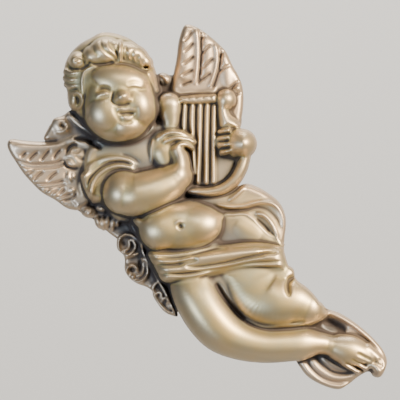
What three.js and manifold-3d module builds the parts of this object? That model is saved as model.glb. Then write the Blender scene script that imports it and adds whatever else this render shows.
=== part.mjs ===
import * as THREE from 'three';
import { mergeVertices } from 'three/addons/utils/BufferGeometryUtils.js';
import Module from 'manifold-3d';

// A cherub with a lyre, cast in one piece with a flat back, to hang on a wall.
// The back lies in the plane y = 0, the figure faces -y and its upright is +z.

// Driving sizes in millimetres
const HEIGHT = 146;
const RELIEF_DEPTH = 30;
const EDGE_THICKNESS = 3;
const NAIL_HOLE_DIAMETER = 2.2;
const NAIL_HOLE_SLOPE_DEGREES = 9;
const SIDE_DRAFT_DEGREES = 3;

// The figure is drawn 146 units tall about the middle of its back, and its
// carving runs from 3 units at the thin edges to 30 at the tip of the nose.
const DRAWN_HEIGHT = 146;
const DRAWN_EDGE = 3;
const DRAWN_PEAK = 30;
const DRAWN_NAIL_HOLE = { x: -18.2, z: 55.1 };
const LOWEST_CARVING = 1.6;

// The sheet that is carved, and how closely the facets follow it, in drawn units
const SHEET = { x: -79, z: -82, side: 164, cells: 256 };
const CELL = SHEET.side / SHEET.cells;
const CARVING_TOLERANCE = 0.7;
const OUTLINE_TOLERANCE = 0.35;
const STEPS_PER_SPAN = 5;
const FALL_BESIDE_FORM = 5;

// The drafted sides need the distance to the outline over as far as they lean in
const UNIT = HEIGHT / DRAWN_HEIGHT;
const LEAN = Math.tan(THREE.MathUtils.degToRad(SIDE_DRAFT_DEGREES));
const OUTLINE_REACH = Math.max(2, 1.2 * RELIEF_DEPTH * LEAN / UNIT);
const depthOf = (carved) => (
  EDGE_THICKNESS + (carved - DRAWN_EDGE) / (DRAWN_PEAK - DRAWN_EDGE) * (RELIEF_DEPTH - EDGE_THICKNESS)
);

// Two maps over the sheet: the carved height, and how far inside the outline a place is
const nodesAcross = SHEET.cells + 1;
const carved = new Float64Array(nodesAcross * nodesAcross);
const inside = new Float64Array(nodesAcross * nodesAcross).fill(-100);
const nodeAt = (column, row) => row * nodesAcross + column;

const clamp = THREE.MathUtils.clamp;
const roundedRise = (share, power) => Math.sqrt(Math.max(0, 1 - share ** power));

function eachNodeNear(xLow, xHigh, zLow, zHigh, visit) {
  const columnOf = (x) => clamp(Math.round((x - SHEET.x) / CELL), 0, SHEET.cells);
  const rowOf = (z) => clamp(Math.round((z - SHEET.z) / CELL), 0, SHEET.cells);
  for (let row = rowOf(zLow); row <= rowOf(zHigh); row += 1) {
    for (let column = columnOf(xLow); column <= columnOf(xHigh); column += 1) {
      visit(SHEET.x + column * CELL, SHEET.z + row * CELL, nodeAt(column, row));
    }
  }
}

// The higher of the carving so far and a form, with the crease between them rounded
function lay(node, distanceIn, height, blend, widens) {
  const gap = Math.max(blend - Math.abs(carved[node] - height), 0) / blend;
  carved[node] = Math.max(carved[node], height) + gap * gap * blend / 4;
  if (widens) {
    inside[node] = Math.max(inside[node], distanceIn);
  }
}

// A smooth line through rows of x, z, half width and top height
function lineThrough(rows, closed = false) {
  const places = rows.map(([x, z]) => new THREE.Vector3(x, 0, z));
  const sizes = rows.map(([, , half = 0, top = 0]) => new THREE.Vector3(half, top, 0));
  const steps = (closed ? rows.length : rows.length - 1) * STEPS_PER_SPAN;
  const route = new THREE.CatmullRomCurve3(places, closed, 'catmullrom', 0.5);
  const carriedSizes = new THREE.CatmullRomCurve3(sizes, closed, 'catmullrom', 0.5);
  return Array.from({ length: steps + 1 }, (_, step) => {
    const place = route.getPoint(step / steps);
    const size = carriedSizes.getPoint(step / steps);
    return { x: place.x, z: place.z, half: size.x, top: size.y };
  });
}

function nearestOn(line, x, z) {
  const nearest = { distance: Infinity, along: 0, half: 0, top: 0 };
  for (let i = 0; i < line.length - 1; i += 1) {
    const [a, b] = [line[i], line[i + 1]];
    const [dx, dz] = [b.x - a.x, b.z - a.z];
    const share = clamp(((x - a.x) * dx + (z - a.z) * dz) / Math.max(dx * dx + dz * dz, 1e-9), 0, 1);
    const distance = Math.hypot(x - a.x - share * dx, z - a.z - share * dz);
    if (distance < nearest.distance) {
      nearest.distance = distance;
      nearest.along = (i + share) / (line.length - 1);
      nearest.half = a.half + share * (b.half - a.half);
      nearest.top = a.top + share * (b.top - a.top);
    }
  }
  return nearest;
}

function isWithin(line, x, z) {
  let within = false;
  for (let i = 0; i < line.length - 1; i += 1) {
    const [a, b] = [line[i], line[i + 1]];
    if ((a.z > z) !== (b.z > z) && x < (b.x - a.x) * (z - a.z) / (b.z - a.z) + a.x) {
      within = !within;
    }
  }
  return within;
}

function eachNodeAlong(line, reach, visit) {
  const [xs, zs] = [line.map((point) => point.x), line.map((point) => point.z)];
  const [xLow, xHigh, zLow, zHigh] = [Math.min(...xs), Math.max(...xs), Math.min(...zs), Math.max(...zs)];
  eachNodeNear(xLow - reach, xHigh + reach, zLow - reach, zHigh + reach, visit);
}

// A swelling with an oval foot, turned anticlockwise by degrees
function dome([x, z], [halfX, halfZ], degrees, [base, top], { power = 2, blend = 0.8, widens = true } = {}) {
  const reach = Math.max(halfX, halfZ) + 4;
  const turn = THREE.MathUtils.degToRad(degrees);
  eachNodeNear(x - reach, x + reach, z - reach, z + reach, (nodeX, nodeZ, node) => {
    const u = ((nodeX - x) * Math.cos(turn) + (nodeZ - z) * Math.sin(turn)) / halfX;
    const v = ((nodeZ - z) * Math.cos(turn) - (nodeX - x) * Math.sin(turn)) / halfZ;
    const share = Math.max(Math.hypot(u, v), 1e-6);
    const distanceIn = (1 - share) * share / Math.max(Math.hypot(u / halfX, v / halfZ), 1e-9);
    const rise = (top - base) * roundedRise(share, power);
    lay(node, distanceIn, base + (share < 1 ? rise : FALL_BESIDE_FORM * distanceIn), blend, widens);
  });
}

// A rounded limb along stations of x, z, half width and top height
function limb(stations, base, { power = 2, blend = 0.8, widens = true } = {}) {
  const line = lineThrough(stations);
  const reach = Math.max(...stations.map(([, , half]) => half)) + 4;
  eachNodeAlong(line, reach, (x, z, node) => {
    const { distance, half, top } = nearestOn(line, x, z);
    const distanceIn = half - distance;
    const rise = (top - base) * roundedRise(distance / half, power);
    lay(node, distanceIn, base + (distanceIn > 0 ? rise : FALL_BESIDE_FORM * distanceIn), blend, widens);
  });
}

// A flat form inside a smooth outline, with its edge rounded over a width, and its top
// tilted by the slope about the middle of its points
function slab(outline, [base, top], edgeWidth, { blend = 0.8, widens = true, slope = [0, 0] } = {}) {
  const line = lineThrough(outline, true);
  const meanOf = (values) => values.reduce((sum, value) => sum + value, 0) / values.length;
  const [middleX, middleZ] = [meanOf(line.map((point) => point.x)), meanOf(line.map((point) => point.z))];
  eachNodeAlong(line, 4, (x, z, node) => {
    const { distance } = nearestOn(line, x, z);
    const distanceIn = isWithin(line, x, z) ? distance : -distance;
    const tilt = slope[0] * (x - middleX) + slope[1] * (z - middleZ);
    const rise = (top + tilt - base) * roundedRise(1 - clamp(distanceIn / edgeWidth, 0, 1), 2);
    lay(node, distanceIn, base + (distanceIn > 0 ? rise : FALL_BESIDE_FORM * distanceIn), blend, widens);
  });
}

// A rounded ridge added along a line, or a groove where the rise is negative
function stroke(points, halfWidth, rise, taper = 0.25) {
  const line = lineThrough(points);
  eachNodeAlong(line, halfWidth, (x, z, node) => {
    const { distance, along } = nearestOn(line, x, z);
    const end = clamp(Math.min(along, 1 - along) / taper, 0, 1);
    const fade = Math.sqrt(end * (2 - end));
    const share = distance / (halfWidth * (0.35 + 0.65 * fade));
    carved[node] += rise * fade * Math.max(0, 1 - share * share) ** 2;
  });
}

const shifted = (points, dx, dz) => points.map(([x, z]) => [x + dx, z + dz]);

// Low ground that ties the figure together behind its deep gaps
function carveGround() {
  slab([[-45, 29], [-43, 39], [-30, 46], [-14, 52.6], [-11.4, 53], [-8.6, 52.4], [-4, 52], [8, 50],
    [12, 36], [20, 20], [18, 8], [30, 0], [34, -20], [40, -30], [48, -40], [56, -46], [50, -56],
    [30, -58], [8, -52], [-4, -43], [-9, -41], [-13, -36], [-17, -28], [-25, -12], [-30, -4], [-40, 3],
    [-44, 16]], [3, 4.4], 1);
}

// Upright wing behind the lyre: long feathers with raised shafts and rising barb cuts
function carveRaisedWing() {
  slab([[-1.3, 72.6], [2.4, 71.2], [6, 68.8], [10.3, 65.2], [13.8, 61.4], [16, 56.6], [18.6, 52],
    [20.2, 47.5], [20.6, 42], [20, 36], [18.5, 31], [8, 30], [-6, 32], [-9.5, 42], [-8.2, 49],
    [-7.2, 54], [-6.2, 59], [-5.3, 66], [-3.6, 71.3]], [3, 6.2], 2.2);
  const shafts = [
    [[1.6, 71], [2.1, 66], [2.2, 60], [2, 54], [1.6, 48]],
    [[8.6, 66], [9.6, 61], [9.6, 56], [8.9, 51], [7.6, 47]],
  ];
  for (const shaft of shafts) {
    stroke(shifted(shaft, -0.6, 0), 1.7, 1.2, 0.12);
    stroke(shifted(shaft, 1.2, 0), 1.3, -1.5, 0.08);
  }
  for (const z of [70, 65.3, 60, 54.3, 50]) {
    stroke([[-3.2, z - 4.2], [-1.2, z - 2.2], [0.5, z + 0.2]], 0.9, -1.2);
  }
  for (const z of [68.6, 63.6, 59, 53.6]) {
    stroke([[3.9, z - 3.4], [5.9, z - 2.2], [7.8, z + 0.2]], 0.9, -1.2);
  }
  for (const [x, z] of [[13.2, 60.8], [14.6, 56.5], [18.8, 50.2]]) {
    stroke([[x - 3.6, z - 3], [x - 1.6, z - 1.6], [x, z]], 0.9, -1.1);
  }
  dome([-11.2, 50.6], [3.2, 2.6], -30, [3, 7.2]);
}

// Spread wing behind the shoulder: rows of feathers below a downy oval
function carveSpreadWing() {
  slab([[-73.9, 24.8], [-72.4, 26.7], [-67, 26.2], [-60, 25.8], [-54, 26.3], [-48, 27.6], [-43, 27.4],
    [-38.8, 24.6], [-38, 21], [-38, 12], [-40, 2], [-44, -1.2], [-46.6, -1.7], [-50.4, -0.7], [-54.6, 2.3],
    [-60, 5.4], [-64, 9.2], [-67.4, 13], [-70.6, 17.8], [-73, 21.6]], [3, 6.4], 2);
  const rows = [
    [[-70.2, 18.3], [-66.5, 17.2], [-62, 16.8], [-57, 17], [-51.6, 18.3]],
    [[-63.8, 9.6], [-61, 9], [-57, 8.8], [-53, 9.4], [-50.4, 9.9]],
    [[-55, 3.3], [-52.6, 3.3], [-49.8, 4.4], [-47.4, 5.2]],
  ];
  for (const row of rows) {
    stroke(row, 1, -1.7, 0.1);
    stroke(shifted(row, 0.4, 1.4), 1.4, 0.8, 0.15);
  }
  const barbFeet = [[-70, 18.2], [-64.9, 18.2], [-60.2, 18.2], [-56.2, 18.2], [-67.2, 10.4], [-63, 10.4],
    [-57.5, 10.4], [-60, 4.6], [-56.7, 4.6], [-53.4, 4.6]];
  for (const [x, z] of barbFeet) {
    stroke([[x, z], [x + 1.8, z + 1.8], [x + 3.4, z + 3.8]], 0.85, -1.2);
  }
  limb([[-52, 24.6, 2.4, 6.6], [-47, 26, 2.8, 7.6], [-42, 24.6, 3.2, 8.4], [-39.2, 21.6, 2.8, 8]], 4.5);
  dome([-45.8, 19.6], [5.4, 5.6], 20, [4.5, 8.6], { power: 3 });
  for (const [x, z, turn] of [[-48.6, 11.9, 70], [-44, 8.4, 80], [-47.4, 6.6, 70], [-43.4, 4.2, 130]]) {
    dome([x, z], [2.9, 1.9], turn, [4.5, 7.8]);
  }
}

// Beads and fans that run down from the spread wing
function carveLeaves() {
  slab([[-47, 0], [-44.4, -2.7], [-41.6, -4.6], [-39.4, -5.4], [-38.6, -7.6], [-36.8, -9.2], [-34.6, -9.7],
    [-33, -11], [-31, -12.4], [-28, -14], [-22, -12], [-22, -4], [-30, 2], [-42, 3]], [2.4, 4], 1.4);
  dome([-41.2, -2], [3.5, 2.6], -20, [2.6, 7.4]);
  dome([-36, -0.8], [2.9, 2], -25, [2.6, 7.2]);
  dome([-36.6, -6.6], [2.4, 2.7], 20, [2.6, 6.8]);
  dome([-33.4, -5.6], [1.5, 3.2], 10, [2.6, 6.8]);
  dome([-31.6, -7.4], [1.9, 2.7], -8, [2.6, 6.8]);
  dome([-29, -5], [1.6, 3], 0, [2.6, 6.8]);
}

// A spiral line from its outer end inwards
function spiral([x, z], radius, startDegrees, turns) {
  const steps = Math.ceil(8 * turns);
  return Array.from({ length: steps + 1 }, (_, step) => {
    const angle = THREE.MathUtils.degToRad(startDegrees + 360 * turns * step / steps);
    const shrunk = radius * (1 - 0.82 * step / steps);
    return [x + shrunk * Math.cos(angle), z + shrunk * Math.sin(angle)];
  });
}

// Openwork scrolls between the waist and the near thigh
function carveScrolls() {
  slab([[-30.2, -15], [-29.4, -11.8], [-26.6, -9.6], [-24, -5], [-21.6, -7], [-20, -12], [-17, -18],
    [-13, -24], [-11, -30], [-8.4, -36], [-5.6, -43.6], [-8, -43.8], [-11.2, -42.2], [-13.8, -39],
    [-15.6, -36], [-16, -34], [-18.2, -32.4], [-22, -31], [-25, -28.8], [-26.9, -25.6], [-26.9, -21.6],
    [-27.6, -19.4], [-29.6, -17.6]], [2.2, 3.6], 1.2);
  stroke(spiral([-25.9, -15.2], 3.9, 20, 1.45), 1, 2.6, 0.05);
  stroke([[-20.4, -14.4], [-21.4, -17.4], [-23.2, -20], [-26.4, -21.4]], 1, 2.4, 0.1);
  stroke([[-20.6, -15], [-20.6, -19], [-21.3, -22.5], [-21.6, -25.6], [-22.6, -26.6]], 1, 2.2, 0.1);
  stroke([[-26.6, -22], [-26, -26.4], [-23.6, -29.6], [-20.2, -30.2], [-17.8, -27.6], [-17.6, -24.6],
    [-18.8, -21.4]], 1, 2.4, 0.1);
  stroke([[-24.8, -26.6], [-23.6, -28.4], [-21.8, -28], [-19.8, -27.9], [-18.9, -25.6], [-19.4, -22.6]],
    0.85, 2.2, 0.1);
  stroke([[-24.6, -4.8], [-23.4, -9], [-20.6, -14], [-18.9, -19], [-16, -24], [-13.4, -29.6], [-11.2, -34],
    [-9, -38.6], [-6.6, -42.8]], 1.1, 2.6, 0.05);
  stroke([[-13.3, -30], [-16.4, -33], [-15.6, -36], [-13.2, -39.4], [-9.8, -42]], 1, 2, 0.1);
  stroke([[-10.6, -36], [-11.8, -37.6], [-11.2, -39.4], [-8.6, -40]], 0.9, 1.8);
}

// Swag of cloth behind the hip and the cloth that trails round the foot
function carveRobe() {
  slab([[8, 4.6], [14, 5.6], [21, 8.9], [26, 7.7], [30.4, 5.2], [34.4, 2], [36.8, -2], [37.6, -7],
    [37, -13], [36.9, -18], [38.4, -23.4], [40.4, -28], [40, -32], [30, -36], [10, -30], [-4, -20],
    [0, -4], [-4, 3]], [3, 9.2], 2.4, { slope: [-0.02, 0] });
  stroke([[9, 0.9], [15, -0.3], [20.4, 0], [24, 1], [28, 1.7], [32.2, 0.9], [35, -1.6], [36.6, -5.4],
    [37, -9.4], [36.4, -14]], 1.2, 1.6, 0.12);
  stroke([[14.6, 2], [18, 4.6], [21.4, 8.4]], 1.2, 1, 0.2);
  stroke([[25.4, -2.8], [28.4, -3.6], [31.2, -6.2], [33, -9.4], [34.2, -13]], 1.2, 1.8, 0.2);
  stroke([[12.4, -3.5], [16.6, -3.4], [21, -3.3], [24.4, -5.4], [27.6, -8.6], [30.4, -11.4],
    [33.4, -13], [36.2, -15.4]], 1.1, 1.3, 0.06);
  stroke([[12.2, -1.9], [17, -1.9], [22, -1.5], [26, -0.6], [30, -1.6], [33.6, -5],
    [35.2, -9]], 1.2, -1.1, 0.2);
  stroke([[25.4, -5], [28.6, -7.6], [31, -10.4]], 1.2, -0.8, 0.3);
  slab([[10, -3.4], [15, -3.4], [20, -3.4], [23.4, -5], [26.6, -7.4], [29.8, -10.6], [33, -13],
    [37, -16], [26, -19], [16, -19], [9, -18]], [8, 10.4], 1.6, { blend: 0.8 });
  stroke([[17, -7], [22, -10], [27, -13]], 5, 0.7, 0.4);
  slab([[-24.2, -5], [-21, -12], [-17, -19], [-14, -24], [-10, -26], [-12, -10], [-18, -4]],
    [3, 6.2], 1.4);
  slab([[50, -38.6], [54, -41], [59.6, -43.1], [66, -47.2], [72, -52.4], [76.4, -57.6], [78, -62.2],
    [76.8, -66.4], [75, -68.5], [72.6, -68.2], [70.6, -66.2], [66.6, -68.2], [62.4, -71.4],
    [58.6, -73.3], [53, -72], [47, -68.8], [43.6, -65], [41.4, -60], [44, -50]], [3, 5.6], 1.8);
  stroke([[52, -41.6], [58, -43.6], [65, -47.8], [71.6, -53.2], [76, -58.8], [77, -62.8]], 1.5, 1.6, 0.1);
  stroke([[52.4, -46.2], [57, -47.4], [61.6, -49.6]], 2.6, -2.8, 0.45);
  for (const [points, halfWidth, rise] of [
    [[[43.4, -62], [46.6, -66.4], [52, -70.4], [58.4, -72.2], [63, -70.4]], 2, 0.7],
    [[[47, -60.8], [50.4, -65], [56, -68.2], [62, -68.4], [68, -66.2]], 2, 0.9],
    [[[51.4, -59.8], [55, -63], [60, -65], [65.4, -64.8]], 2, 0.8],
    [[[45.2, -60.6], [48, -64.8], [52.6, -69], [58.6, -70.4], [64.4, -69.2]], 1.1, -0.7],
    [[[49.4, -59.8], [52.6, -63.4], [57, -66.4], [63.6, -66.8]], 1.1, -0.7],
  ]) {
    stroke(points, halfWidth, rise, 0.15);
  }
}

// Chest and neck
function carveChest() {
  slab([[-44, 14], [-43, 22], [-38, 28], [-30, 30], [-14, 34], [-6, 34], [-2, 26], [0, 10], [-6, -2],
    [-20, -6], [-30, -6], [-36, 0], [-40, 1], [-43, 6]], [3.5, 10.4], 3.4);
  dome([-24, 20], [14, 10], 0, [8, 12.8], { blend: 2.4, widens: false });
  stroke([[-30, 24.9], [-25, 25.2], [-20, 27.2], [-16.4, 30.2], [-14.6, 34]], 1.1, 1.8, 0.15);
}

// Loose locks beside the neck
function carveTresses() {
  slab([[-58.6, 26], [-57.6, 31], [-55, 34.4], [-51.4, 36.4], [-48, 38.4], [-44, 36], [-38, 31],
    [-34, 26], [-38, 23], [-46, 26]], [3, 6.4], 2);
  dome([-51.8, 31.6], [4.8, 3.6], -35, [5, 8]);
  stroke([[-52.4, 32.6], [-51.4, 32], [-50.6, 31.4]], 1.2, -1.7);
  for (const step of [0, 1.5, 3, 4.5]) {
    stroke([[-49.6 + step, 37.2 - step * 0.4], [-46.4 + step, 33 - step * 0.3],
      [-42.4 + step, 30 - step * 0.5], [-38 + step * 0.6, 26.6 - step * 0.2]], 1.1, 1.5, 0.2);
  }
  stroke([[-47, 26.9], [-42, 26.6], [-38.4, 24.2], [-36, 23]], 1.3, -2.2, 0.2);
}

// Lyre: two horns, a crossbar, five strings over a ground, and a curved bowl
function carveLyre() {
  slab([[-6, 42], [10, 44], [12, 36], [20, 24], [21, 14], [14, 6.6], [2, 6], [-3, 10], [-5, 26]],
    [5, 8.6], 1);
  limb([[-9.3, 39.9, 5.3, 13.4], [-9, 36.6, 4.7, 13], [-8.6, 33.6, 3.7, 12.4], [-9, 30, 3.2, 12]], 7,
    { power: 2.6 });
  slab([[9.8, 42.6], [10.4, 45.2], [13, 46.4], [15.8, 45.8], [17.3, 43.2], [16.9, 40.8], [15.2, 39.4],
    [14.9, 38.2], [15.6, 36.4], [17.6, 34.6], [19.4, 32], [18, 30.4], [11.6, 30.4], [10.4, 34],
    [9.9, 38.6]], [7, 12.6], 4.2);
  dome([13.5, 42.3], [3.9, 4.1], 0, [8, 13.2], { blend: 1.4, widens: false });
  stroke([[15.5, 39.8], [16.4, 39.5]], 1.1, -1.8, 0.3);
  slab([[-5.4, 40.6], [-5.2, 43.3], [2, 44], [9.8, 44.6], [9.8, 41], [2, 40.4]], [8, 11.6], 1.1);
  for (const line of [
    [[-2.9, 40.6], [-3.2, 34], [-3.4, 27]],
    [[0.2, 40.6], [0, 33], [0.4, 24], [0.9, 12]],
    [[3.2, 40.6], [3.1, 33], [2.8, 22], [2.2, 8.6]],
    [[6.1, 40.6], [5.9, 33], [5.7, 20], [5.5, 8.4]],
    [[8.9, 40.6], [8.7, 33], [8.6, 20], [8.6, 8.4]],
  ]) {
    stroke(line, 1.25, 2, 0.03);
  }
  limb([[-2.6, 6.2, 1.3, 10.4], [2, 5.8, 1.8, 12.4], [7.4, 5.7, 2.3, 13], [12.6, 7.2, 2.6, 13.2],
    [16.8, 10.4, 2.7, 13.4], [19.4, 14.6, 2.7, 13.4], [20.8, 18.6, 2.5, 13], [21.4, 22, 2.5, 13]], 6.4,
    { power: 2.4 });
  stroke([[2, 7.7], [7, 7.6], [11.4, 9], [15, 11.9], [17, 15.4], [17.4, 17.6]], 1.1, -2.2, 0.1);
}

// Far fist round the lyre, with its four fingers
function carveFarHand() {
  limb([[14, 25.6, 5.2, 13.8], [17, 25.2, 6.2, 17], [20, 24.9, 6, 19]], 5.5, { blend: 2.4 });
  for (const [x, z] of [[11.4, 29.8], [11, 27], [11.2, 24.3], [12, 21.7]]) {
    limb([[x, z - 0.4, 1.3, 12.6], [x + 1.6, z, 1.5, 14.4], [x + 3.2, z + 0.3, 1.3, 14.8]], 8,
      { blend: 0.7 });
  }
}

// Round belly with its navel, and the low cloth round it
function carveBelly() {
  slab([[-19, -3], [-8, 1], [4, 0], [9, -6], [10, -13], [18, -16.6], [30, -17.6], [35, -21], [34, -25],
    [8, -26], [-8, -27], [-15, -20], [-20, -10]], [8, 14], 4, { blend: 2, widens: false });
  slab([[-23.4, -5], [-16, -3.6], [-8.8, -0.2], [-3.6, 2], [1.6, 1.7], [5.6, 0.1], [9.6, -2],
    [12.3, -3.8], [11.7, -6.8], [10.9, -10], [9.2, -12.8], [4.8, -15.7], [-0.8, -17.3], [-8.8, -18.3],
    [-14.6, -18.9], [-18, -14.8], [-20, -10.4]], [10, 16.6], 3, { blend: 1.6 });
  dome([-5, -8.2], [16, 9.6], -1, [12, 21.8], { power: 2.5, blend: 3, widens: false });
  dome([-12.4, -9.8], [7.8, 7.4], 0, [14, 20.9], { blend: 4, widens: false });
  dome([3.6, -7.4], [7.8, 7], 0, [14, 21.2], { blend: 4, widens: false });
  stroke([[-5.6, -7.4], [-4.6, -7.9], [-3.8, -8.8]], 1.6, -1.5, 0.4);
}

// Cloth wound round the hips in long folds
function carveHipBand() {
  slab([[-17, -18.2], [-8, -17.6], [0, -16.4], [8, -15.6], [16, -14.9], [22, -14.4], [29, -14.7],
    [35.6, -16.2], [37.2, -19.4], [38, -24], [37, -26.4], [33, -26.6], [26, -26.3], [19, -26.7],
    [11, -27.9], [4, -29.6], [-4, -30.4], [-11, -30], [-14.4, -25]], [10, 19.2], 5,
    { blend: 1.6, slope: [-0.04, 0] });
  for (const [points, halfWidth, rise] of [
    [[[-17, -19.2], [-8.8, -19.1], [-2.4, -18.3], [3.2, -16.9], [9.6, -15.3]], 1.8, 0.6],
    [[[-16.6, -21.6], [-8.8, -21.8], [-4, -21.3], [0.4, -20.2]], 1.8, 0.6],
    [[[-4.8, -23], [3.2, -20.9], [11.2, -19.5], [20, -17.8], [27.2, -17.2]], 3.4, 0.9],
    [[[-15, -25.4], [-4.8, -25.2], [1.6, -24.8], [8.8, -24], [15.2, -23.2], [23.2, -21.6],
      [31.2, -20.8], [37, -21.2]], 1.8, 0.6],
    [[[-13.6, -28.3], [-2.4, -28], [4, -26.9], [10.4, -25.4], [18.4, -24.2], [26.4, -23.3],
      [37, -23.2]], 1.8, 0.6],
    [[[15.8, -15.8], [23.2, -15], [29.6, -15.3], [36, -17.2]], 1.4, 0.7],
    [[[28, -19.8], [33, -19.2], [37, -20]], 1.2, 0.6],
  ]) {
    stroke(points, halfWidth, rise, 0.12);
  }
  for (const [points, halfWidth, rise] of [
    [[[-17, -20.3], [-7.2, -20.5], [-0.8, -19.6], [4, -18.4], [9.6, -17.1], [14.4, -16.9]], 1.1, -1.8],
    [[[-16, -23], [-8.8, -23.3], [-4.8, -22.8], [-1.6, -21.9], [2.4, -21]], 1.2, -1.9],
    [[[-2.4, -24], [3.2, -24], [7.2, -23.5], [13.6, -22.4], [20, -20.8], [26.4, -19.3], [30.4, -18.6],
      [34, -18.7]], 1.1, -2],
    [[[-14, -26.8], [-4, -26.8], [2.4, -26], [9.6, -25], [17, -23.8], [25, -22.4], [35, -22]], 1.1, -1.9],
    [[[2.4, -28.6], [8, -26.6], [15, -25.3], [24, -24.2], [36, -24.3]], 1.1, -1.2],
    [[[15, -16.6], [22, -16.1], [30, -16.2], [36, -18]], 1.1, -1.2],
  ]) {
    stroke(points, halfWidth, rise, 0.2);
  }
}

// Far thigh drawn up with its knee, near thigh and shin crossing below, and the foot
function carveLegs() {
  slab([[-6, -24], [10, -22], [28, -22], [42, -27], [50, -37], [52.6, -43], [48, -47.4], [36, -52],
    [22, -50], [10, -42], [-2, -34]], [9, 14.6], 6, { blend: 2, widens: false });
  slab([[11.8, -26], [14.4, -32.4], [17.6, -38.6], [21.6, -43.6], [26.4, -46.8], [32, -47.7],
    [41, -47.2], [48.6, -46], [52.8, -43.4], [51.7, -40], [49.6, -36.4], [46, -32.6], [41.6, -29.2],
    [39, -24], [24, -22]], [11, 16.2], 5, { blend: 3 });
  limb([[22, -24, 8, 15], [23.6, -30, 9.4, 18.4], [27.4, -35.6, 10.4, 20.8], [33, -37.6, 10.2, 21.8],
    [40.4, -38.4, 8.6, 21], [45.8, -40.2, 6.2, 19]], 12.4, { power: 2.2, blend: 3, widens: false });
  slab([[30, -20], [40, -20], [44, -27], [48.4, -31.6], [51, -36], [50, -41], [36, -44]], [11, 15.4], 7,
    { blend: 2, widens: false });
  stroke([[41.4, -27.6], [39, -29.2], [37.9, -31.6], [38.4, -35.6]], 1.8, -2.2, 0.35);
  limb([[-1, -24.6, 8.6, 15], [0, -29.4, 9.3, 18.2], [2, -35.6, 9.6, 20.8], [6.4, -43, 9.9, 22],
    [12.2, -49.4, 9.6, 21.6], [20, -53.4, 8.4, 20.2], [29, -55.2, 7.6, 19], [38, -55, 7.3, 18],
    [44.6, -54.5, 6.9, 16.8], [50.2, -54.6, 4.8, 14.4], [54, -55.2, 4.2, 12.6]], 6.4,
    { power: 2.4, blend: 1.4 });
  stroke([[21, -44.6], [26.4, -47.3], [31.2, -48], [37.9, -47.4], [44.5, -46.7], [49.2, -45.7],
    [51.9, -44.6], [54.4, -42.8]], 1.1, 1.4, 0.2);
  stroke([[9.4, -30.4], [12.2, -35.6], [16, -40.6], [20.8, -45.2]], 1.9, -1.6, 0.25);
  limb([[54, -55.4, 4.1, 12], [57.9, -56.3, 5.6, 13], [62.5, -57.6, 6.5, 13.4], [67, -58.9, 5.6, 12.4],
    [70.6, -60.2, 3.8, 10.6]], 4, { power: 2.3, blend: 1.4 });
  limb([[69.6, -56.8, 2.6, 10.6], [73, -59.8, 2.5, 10.2], [75.6, -63.2, 2, 9.6],
    [74.6, -66.6, 1.8, 9.2]], 4);
  limb([[70, -63.6, 1.6, 9], [72.4, -63.4, 1.8, 10], [74.4, -65.6, 2, 10.6], [74, -67, 1.6, 9.4]], 4,
    { blend: 0.6 });
  for (const [x0, z0, x1, z1, half] of [
    [66.4, -59.6, 71.4, -62.4, 1.5],
    [64, -61.6, 69.2, -64.6, 1.4],
    [61.4, -63.2, 66.4, -66, 1.3],
  ]) {
    limb([[x0 - 2, z0 + 1.4, half, 10.6], [x0, z0, half, 11], [x1, z1, half * 0.9, 9.2]], 4,
      { blend: 1.4 });
  }
  for (const [points, halfWidth, rise] of [
    [[[63.2, -60.6], [66.8, -62.6], [70, -63.8]], 1.1, -1.1],
    [[[60.6, -62.4], [63.6, -64], [67.2, -65.6]], 1.1, -1.1],
    [[[74.4, -60.6], [75.6, -62.4], [75.4, -64.4]], 1.1, -1.2],
  ]) {
    stroke(points, halfWidth, rise);
  }
}

// Sleeve, near arm, and the near hand laid on the strings
function carveNearArm() {
  slab([[-44.6, 12], [-41, 15.4], [-36, 19], [-30, 20.4], [-24, 19], [-20, 15], [-24, 6], [-34, 2],
    [-38.4, 1.6], [-42, 4]], [5, 12.4], 3, { blend: 1.4 });
  for (const [points, halfWidth, rise] of [
    [[[-43.4, 10], [-42, 13.6], [-38.8, 17], [-34.6, 18.7], [-29.8, 19], [-25.4, 18],
      [-22.4, 16]], 1.8, 1.3],
    [[[-40, 2.6], [-39.8, 7.6], [-37.6, 11.8], [-33.6, 14.8], [-29.4, 15.9], [-25.5, 15.5],
      [-22.4, 14.2]], 1.7, 1.6],
    [[[-41.6, 6], [-40.6, 10.8], [-37, 14.8], [-33, 16.8], [-28, 17.5], [-23.4, 16.4]], 1.1, -1.2],
  ]) {
    stroke(points, halfWidth, rise, 0.12);
  }
  limb([[-26.8, 5.4, 8.8, 22.6], [-22, 4.6, 8.9, 24], [-15.6, 6.2, 8.5, 23.8], [-9.4, 9, 7.4, 22.4],
    [-5.6, 12, 5.7, 21]], 11, { power: 2.1, blend: 2 });
  limb([[-5.8, 11, 5.4, 20.4], [-4.6, 15, 4.2, 19.6], [-4.6, 18.6, 3.5, 18.4],
    [-5.6, 21.8, 3.2, 17.4]], 10, { blend: 2 });
  dome([-10.4, 23.2], [6.8, 7], 10, [8, 14.6], { blend: 5 });
  limb([[-10.8, 20.6, 4.6, 13.6], [-9.4, 15.6, 4.8, 15]], 8, { blend: 5 });
  const fingers = [
    [[-13, 26.8, 1.9, 14], [-9, 28.9, 1.9, 15.4], [-5, 28.7, 1.7, 15], [-0.9, 27.1, 1.3, 13]],
    [[-10.4, 25.6, 1.9, 15.4], [-6.4, 26.9, 1.7, 16.2], [-2.8, 26.6, 1.5, 15.2], [0.4, 25.4, 1.2, 13.4]],
    [[-6.2, 22.6, 2, 16.8], [-4.8, 24.3, 1.8, 16.8], [-2.4, 24.4, 1.5, 15.8], [-0.4, 23.2, 1.1, 13.8]],
  ];
  for (const finger of fingers) {
    limb(finger, 10, { blend: 1 });
  }
  stroke([[-3.4, 22.6], [-2, 22.8], [-0.6, 22.2]], 1.1, -1.3);
}

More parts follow.
